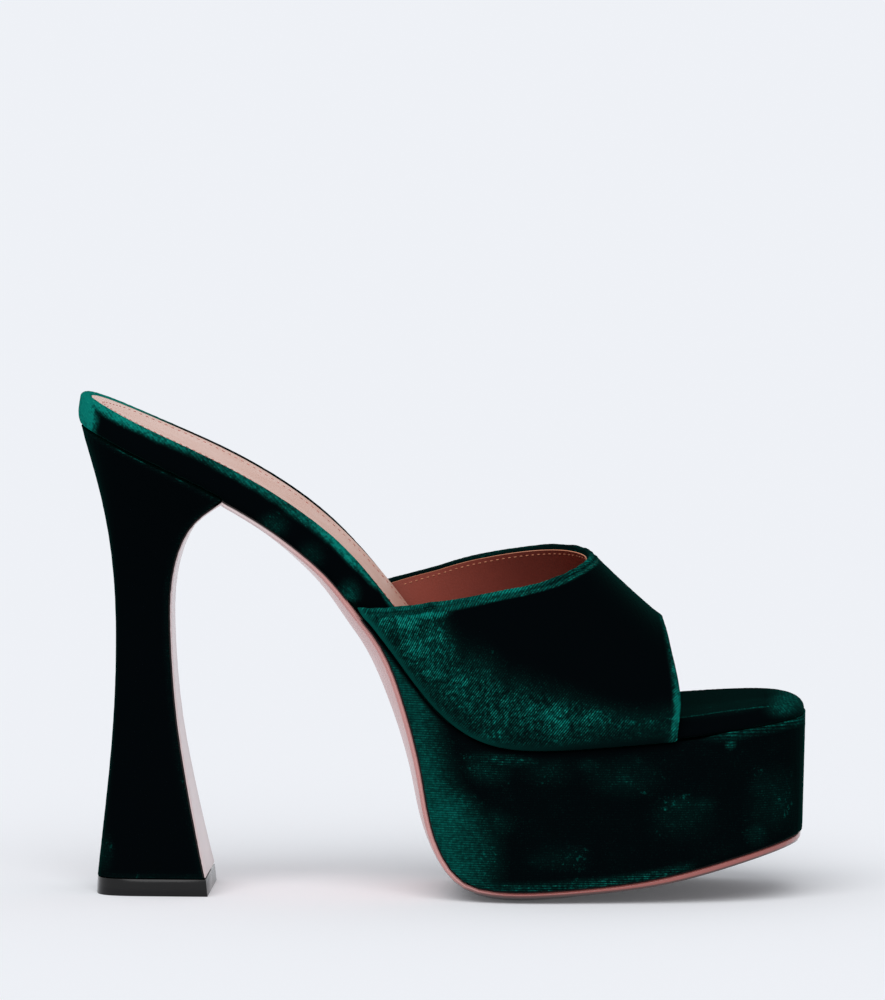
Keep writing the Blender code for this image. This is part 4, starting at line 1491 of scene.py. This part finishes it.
class MULE_OT_make_sole(bpy.types.Operator):
    """Makes the lacquered sole and the flap on the heel's breast"""

    bl_idname = "mule.make_sole"
    bl_label = "Sole and breast"

    def execute(self, context):
        colours = context.scene.mule_leather
        covers = ("footbed_velvet", "platform_velvet", "heel_velvet")
        velvets = [surface_of(bpy.data.objects[name]) for name in covers]
        for node, slot in (("outsole", "sole_leather"), ("breast_flap", "flap_leather")):
            piece = copy_of(node, node + "_leather")
            round_edges(piece, width=0.0005, segments=3)
            refine(piece, "SIMPLE")
            self.close_up(piece, velvets)
            smooth_shade(piece)
            # The pale colour is a painted reflection, the front colour painted shade and the underside colour
            # painted shadow
            finish = leather(
                slot,
                colours.sole,
                colours.pale,
                roughness=0.40,
                pebbles=500.0,
                bump=0.006,
                by="pale",
                coat=0.45,
                layers=(("deep", colours.deep), ("tread", colours.tread), ("dye", colours.dye)),
                matte="dye",
            )
            piece.data.materials.append(finish)
            settle(piece, slot, node)
        return {"FINISHED"}

    def close_up(self, piece, velvets):
        """Draws a piece up to the velvet beside it, and marks its colours: the painted reflection at the
        back, the painted shade at the front, the painted shadow on its underside and the darker edging along
        the seam.
        """
        points, normals = points_of(piece), normals_of(piece)
        way, gaps = way_to(points, velvets)
        pull = SEAM_PULL * ramp(gaps, *SEAM_GAP)
        points += pull[:, None] * way
        if piece.name.startswith("outsole"):
            self.fit_ends(points, normals)
        set_points(piece, points)
        x, _, z = points.T
        # Painted light: the underside's painted shadow, the back's painted reflection and the front's painted
        # shade
        set_attribute(piece, "dye", ramp(gaps, *SEAM_EDGING))
        set_attribute(piece, "tread", ramp(z, *TREAD_HEIGHT) * ramp(-normals[:, 2], *TREAD_FACING))
        set_attribute(piece, "pale", ramp(x, *PAINTED_REFLECTION_ALONG))
        set_attribute(piece, "deep", ramp(x, *FRONT_SHADE_ALONG))

    def fit_ends(self, points, normals):
        """Tucks the sole's back end to the flap and lets its lower edge down at the toe."""
        at_flap = points[:, 0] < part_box("heel")[1].x + SOLE_TUCK_REACH
        back_end = ramp(-normals[:, 0], *FACING_BACK) * at_flap
        points += back_end[:, None] * SOLE_TUCK
        forward = ramp(points[:, 0], *SOLE_DROP_ALONG)
        points[:, 2] -= SOLE_DROP * forward * ramp(-normals[:, 2], *FACING_DOWN)


class MULE_OT_make_heel(bpy.types.Operator):
    """Makes the velvet-covered heel, almost black, with painted highlights on its edges"""

    bl_idname = "mule.make_heel"
    bl_label = "Heel"

    def execute(self, context):
        heel = copy_of("heel", "heel_velvet")
        edges = sharp_runs(heel)
        low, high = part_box("heel")
        refine(heel, "SIMPLE")
        round_edges(heel, width=0.0003, segments=2)
        seam_level = low.z + HEEL_TOP_SHARE * (high.z - low.z)
        seams = [run for run in edges if run[:, 2].min() > seam_level]
        divide_near(heel, seams, WISP_REACH, cuts=3)
        points = points_of(heel)
        x, _, z = points.T
        # Painted highlights along the heel's edges, and wisps of painted highlight along its top seams
        edge = HEEL_EDGE_LIFT * ramp(distance_to(points, edges), *HEEL_EDGE_WIDTH)
        first, second = (np.sin(math.tau * x / span) for span in WISP_LENGTHS)
        wisps = ramp(first * second, *WISP_WAVE) * ramp(x, *WISP_BACK) * ramp(x, *WISP_FRONT)
        seam = WISP_LIFT * wisps * ramp(distance_to(points, seams), *WISP_WIDTH)
        nap = np.maximum.reduce([edge, seam, patch_lift(points, HEEL_PATCHES)])
        lay_nap_and_painted_light(heel, nap, across=z, along=x)
        set_points(heel, ruffled(points, normals_of(heel)))
        smooth_shade(heel)
        heel.data.materials.append(velvet("heel_velvet", rib_pitch=0.0008, rib_depth=0.20))
        settle(heel, "heel_velvet", "heel")
        return {"FINISHED"}


class MULE_OT_make_top_piece(bpy.types.Operator):
    """Makes the black heel tip"""

    bl_idname = "mule.make_top_piece"
    bl_label = "Top piece"

    def execute(self, context):
        base = context.scene.mule_leather.tip
        tip = copy_of("top_piece", "top_piece_rubber")
        round_edges(tip, width=0.0003, segments=2)
        smooth_shade(tip)
        rubber = leather(
            "tip_rubber",
            shaded(base, RUBBER_SHADE),
            base,
            roughness=0.12,
            pebbles=1800.0,
            bump=0.02,
            specular=0.3,
        )
        tip.data.materials.append(rubber)
        settle(tip, "tip_rubber", "top_piece")
        return {"FINISHED"}


def inset_line(line, towards, depth, seat):
    """A line moved square to itself towards another and seated on a surface: points and normals."""
    tangent = np.gradient(line, axis=0)
    tangent /= np.linalg.norm(tangent, axis=1)[:, None]
    way = towards - line
    way -= (way * tangent).sum(axis=1)[:, None] * tangent
    way /= np.linalg.norm(way, axis=1)[:, None]
    hits = [seat(Vector(point)) for point in line + np.reshape(depth, (-1, 1)) * way]
    found = [hit for hit in hits if hit[0]]
    return np.array([hit[0] for hit in found]), np.array([hit[1] for hit in found])


def even_places(line, normals, pitch):
    """Places at one pitch along a line: points, directions and normals."""
    along = np.concatenate([[0.0], np.cumsum(np.linalg.norm(np.diff(line, axis=0), axis=1))])
    at = np.arange(pitch / 2.0, along[-1], pitch)

    def read(values):
        return np.stack([np.interp(at, along, values[:, k]) for k in range(3)], axis=1)

    return read(line), read(np.gradient(line, axis=0)), read(normals)


def one_stitch(name, size):
    """One stitch along X: a slim bead whose ends dip into the material."""
    bpy.ops.object.select_all(action="DESELECT")
    bpy.ops.mesh.primitive_uv_sphere_add(segments=8, ring_count=6, radius=0.5)
    stitch = bpy.context.object
    stitch.name = name
    bpy.ops.object.mode_set(mode="EDIT")
    bpy.ops.mesh.select_all(action="SELECT")
    bpy.ops.transform.rotate(value=math.pi / 2.0, orient_axis="Y", center_override=(0.0, 0.0, 0.0))
    bpy.ops.transform.resize(value=(size.length, size.width, size.height))
    close_edit()
    points = points_of(stitch)
    end = ramp(np.abs(points[:, 0]) / size.length, *STITCH_DIP)
    points[:, 2] -= end * size.height / 2.0
    set_points(stitch, points)
    return stitch


def sew(name, line, normals, size, material, slot):
    """Copies one stitch along a line and joins the copies to one piece."""
    pattern = one_stitch(name, size)
    copies = []
    for point, along, up in zip(*even_places(line, normals, size.pitch)):
        forward = Vector(along).normalized()
        side = Vector(up).cross(forward).normalized()
        turn = Matrix((forward, side, forward.cross(side))).transposed().to_4x4()
        stitch = bpy.data.objects.new(name, pattern.data.copy())
        stitch.data.transform(Matrix.Translation(Vector(point)) @ turn)
        bpy.context.scene.collection.objects.link(stitch)
        copies.append(stitch)
    bpy.data.objects.remove(pattern)
    select_only(*copies)
    bpy.ops.object.join()
    row = bpy.context.object
    row.name = name
    row.data.materials.append(material)
    smooth_shade(row)
    settle(row, slot)


class MULE_OT_make_stitches(bpy.types.Operator):
    """Sews the rows on the insole, the lining and the topline"""

    bl_idname = "mule.make_stitches"
    bl_label = "Stitches"

    def execute(self, context):
        leathers = context.scene.mule_leather
        threads = {
            "lining_stitches": thread("lining_thread", leathers.lining_thread),
            "topline_stitches": thread("topline_thread", context.scene.mule_velvet.thread),
        }
        edges = band_lines()
        for row in BAND_ROWS:
            self.sew_band(row, edges, threads[row.name])
        self.sew_insole(thread("insole_thread", leathers.insole_thread))
        return {"FINISHED"}

    def sew_band(self, row, edges, material):
        """Sews a row along one of the band's edges, on the side that it is seen from."""
        line = edges[row.edge]
        raise_topline(line, 0.0, row.rise)
        surface = surface_of(bpy.data.objects[row.carrier])

        def seat(point):
            axis = Vector((point.x, *BAND_AXIS))
            origin = axis + row.seen_from * (point - axis)
            where, normal, _, _ = surface.ray_cast(origin, point - origin)
            if where and normal.dot(origin - point) < 0.0:
                normal = -normal
            return where, normal

        points, normals = inset_line(line, edges[row.towards], row.size.inset, seat)
        sew(row.name, points[1:-1], normals[1:-1], row.size, material, row.slot)

    def sew_insole(self, material):
        """Sews a row along the insole's outline, nearer to the edge on the outer side."""
        surface = surface_of(bpy.data.objects["insole_leather"])
        loops = [run for run in edge_runs("insole") if len(run) > INSOLE_LOOP_POINTS]
        loop = max(loops, key=lambda run: run[:, 2].mean())
        middle = loop.copy()
        middle[:, 1] = 0.0

        def seat(point):
            return surface.ray_cast(point + SEAT_HEIGHT, -SEAT_HEIGHT)

        inset = INSOLE_OUTER_INSET + (INSOLE_THREAD.inset - INSOLE_OUTER_INSET) * inner_side(loop)
        points, normals = inset_line(loop, middle, inset, seat)
        sew("insole_stitches", points, normals, INSOLE_THREAD, material, "insole_leather")


class MULE_PT_sidebar(bpy.types.Panel):
    """Lists the pieces of the mule and their colours"""

    bl_label = "Platform Mule"
    bl_idname = "MULE_PT_sidebar"
    bl_space_type = "VIEW_3D"
    bl_region_type = "UI"
    bl_category = "Mule"

    def draw(self, context):
        layout = self.layout
        for operator in OPERATORS:
            layout.operator(operator.bl_idname)
        for group in (context.scene.mule_velvet, context.scene.mule_leather, context.scene.mule_stage):
            box = layout.box()
            for name in group.bl_rna.properties.keys():
                if name not in ("rna_type", "name"):
                    box.prop(group, name)


OPERATORS = (
    MULE_OT_make_stage,
    MULE_OT_make_upper,
    MULE_OT_make_footbed,
    MULE_OT_make_lining,
    MULE_OT_make_insole,
    MULE_OT_make_platform,
    MULE_OT_make_heel,
    MULE_OT_make_sole,
    MULE_OT_make_top_piece,
    MULE_OT_make_stitches,
)
CLASSES = (MuleVelvet, MuleLeather, MuleStage, *OPERATORS, MULE_PT_sidebar)


def register():
    for cls in CLASSES:
        bpy.utils.register_class(cls)
    bpy.types.Scene.mule_velvet = PointerProperty(type=MuleVelvet)
    bpy.types.Scene.mule_leather = PointerProperty(type=MuleLeather)
    bpy.types.Scene.mule_stage = PointerProperty(type=MuleStage)


def unregister():
    del bpy.types.Scene.mule_stage
    del bpy.types.Scene.mule_leather
    del bpy.types.Scene.mule_velvet
    for cls in reversed(CLASSES):
        bpy.utils.unregister_class(cls)


def main():
    register()
    bpy.ops.mule.make_stage()
    bpy.ops.mule.make_upper()
    bpy.ops.mule.make_footbed()
    bpy.ops.mule.make_lining()
    bpy.ops.mule.make_insole()
    bpy.ops.mule.make_platform()
    bpy.ops.mule.make_heel()
    bpy.ops.mule.make_sole()
    bpy.ops.mule.make_top_piece()
    bpy.ops.mule.make_stitches()


if __name__ == "__main__":
    main()
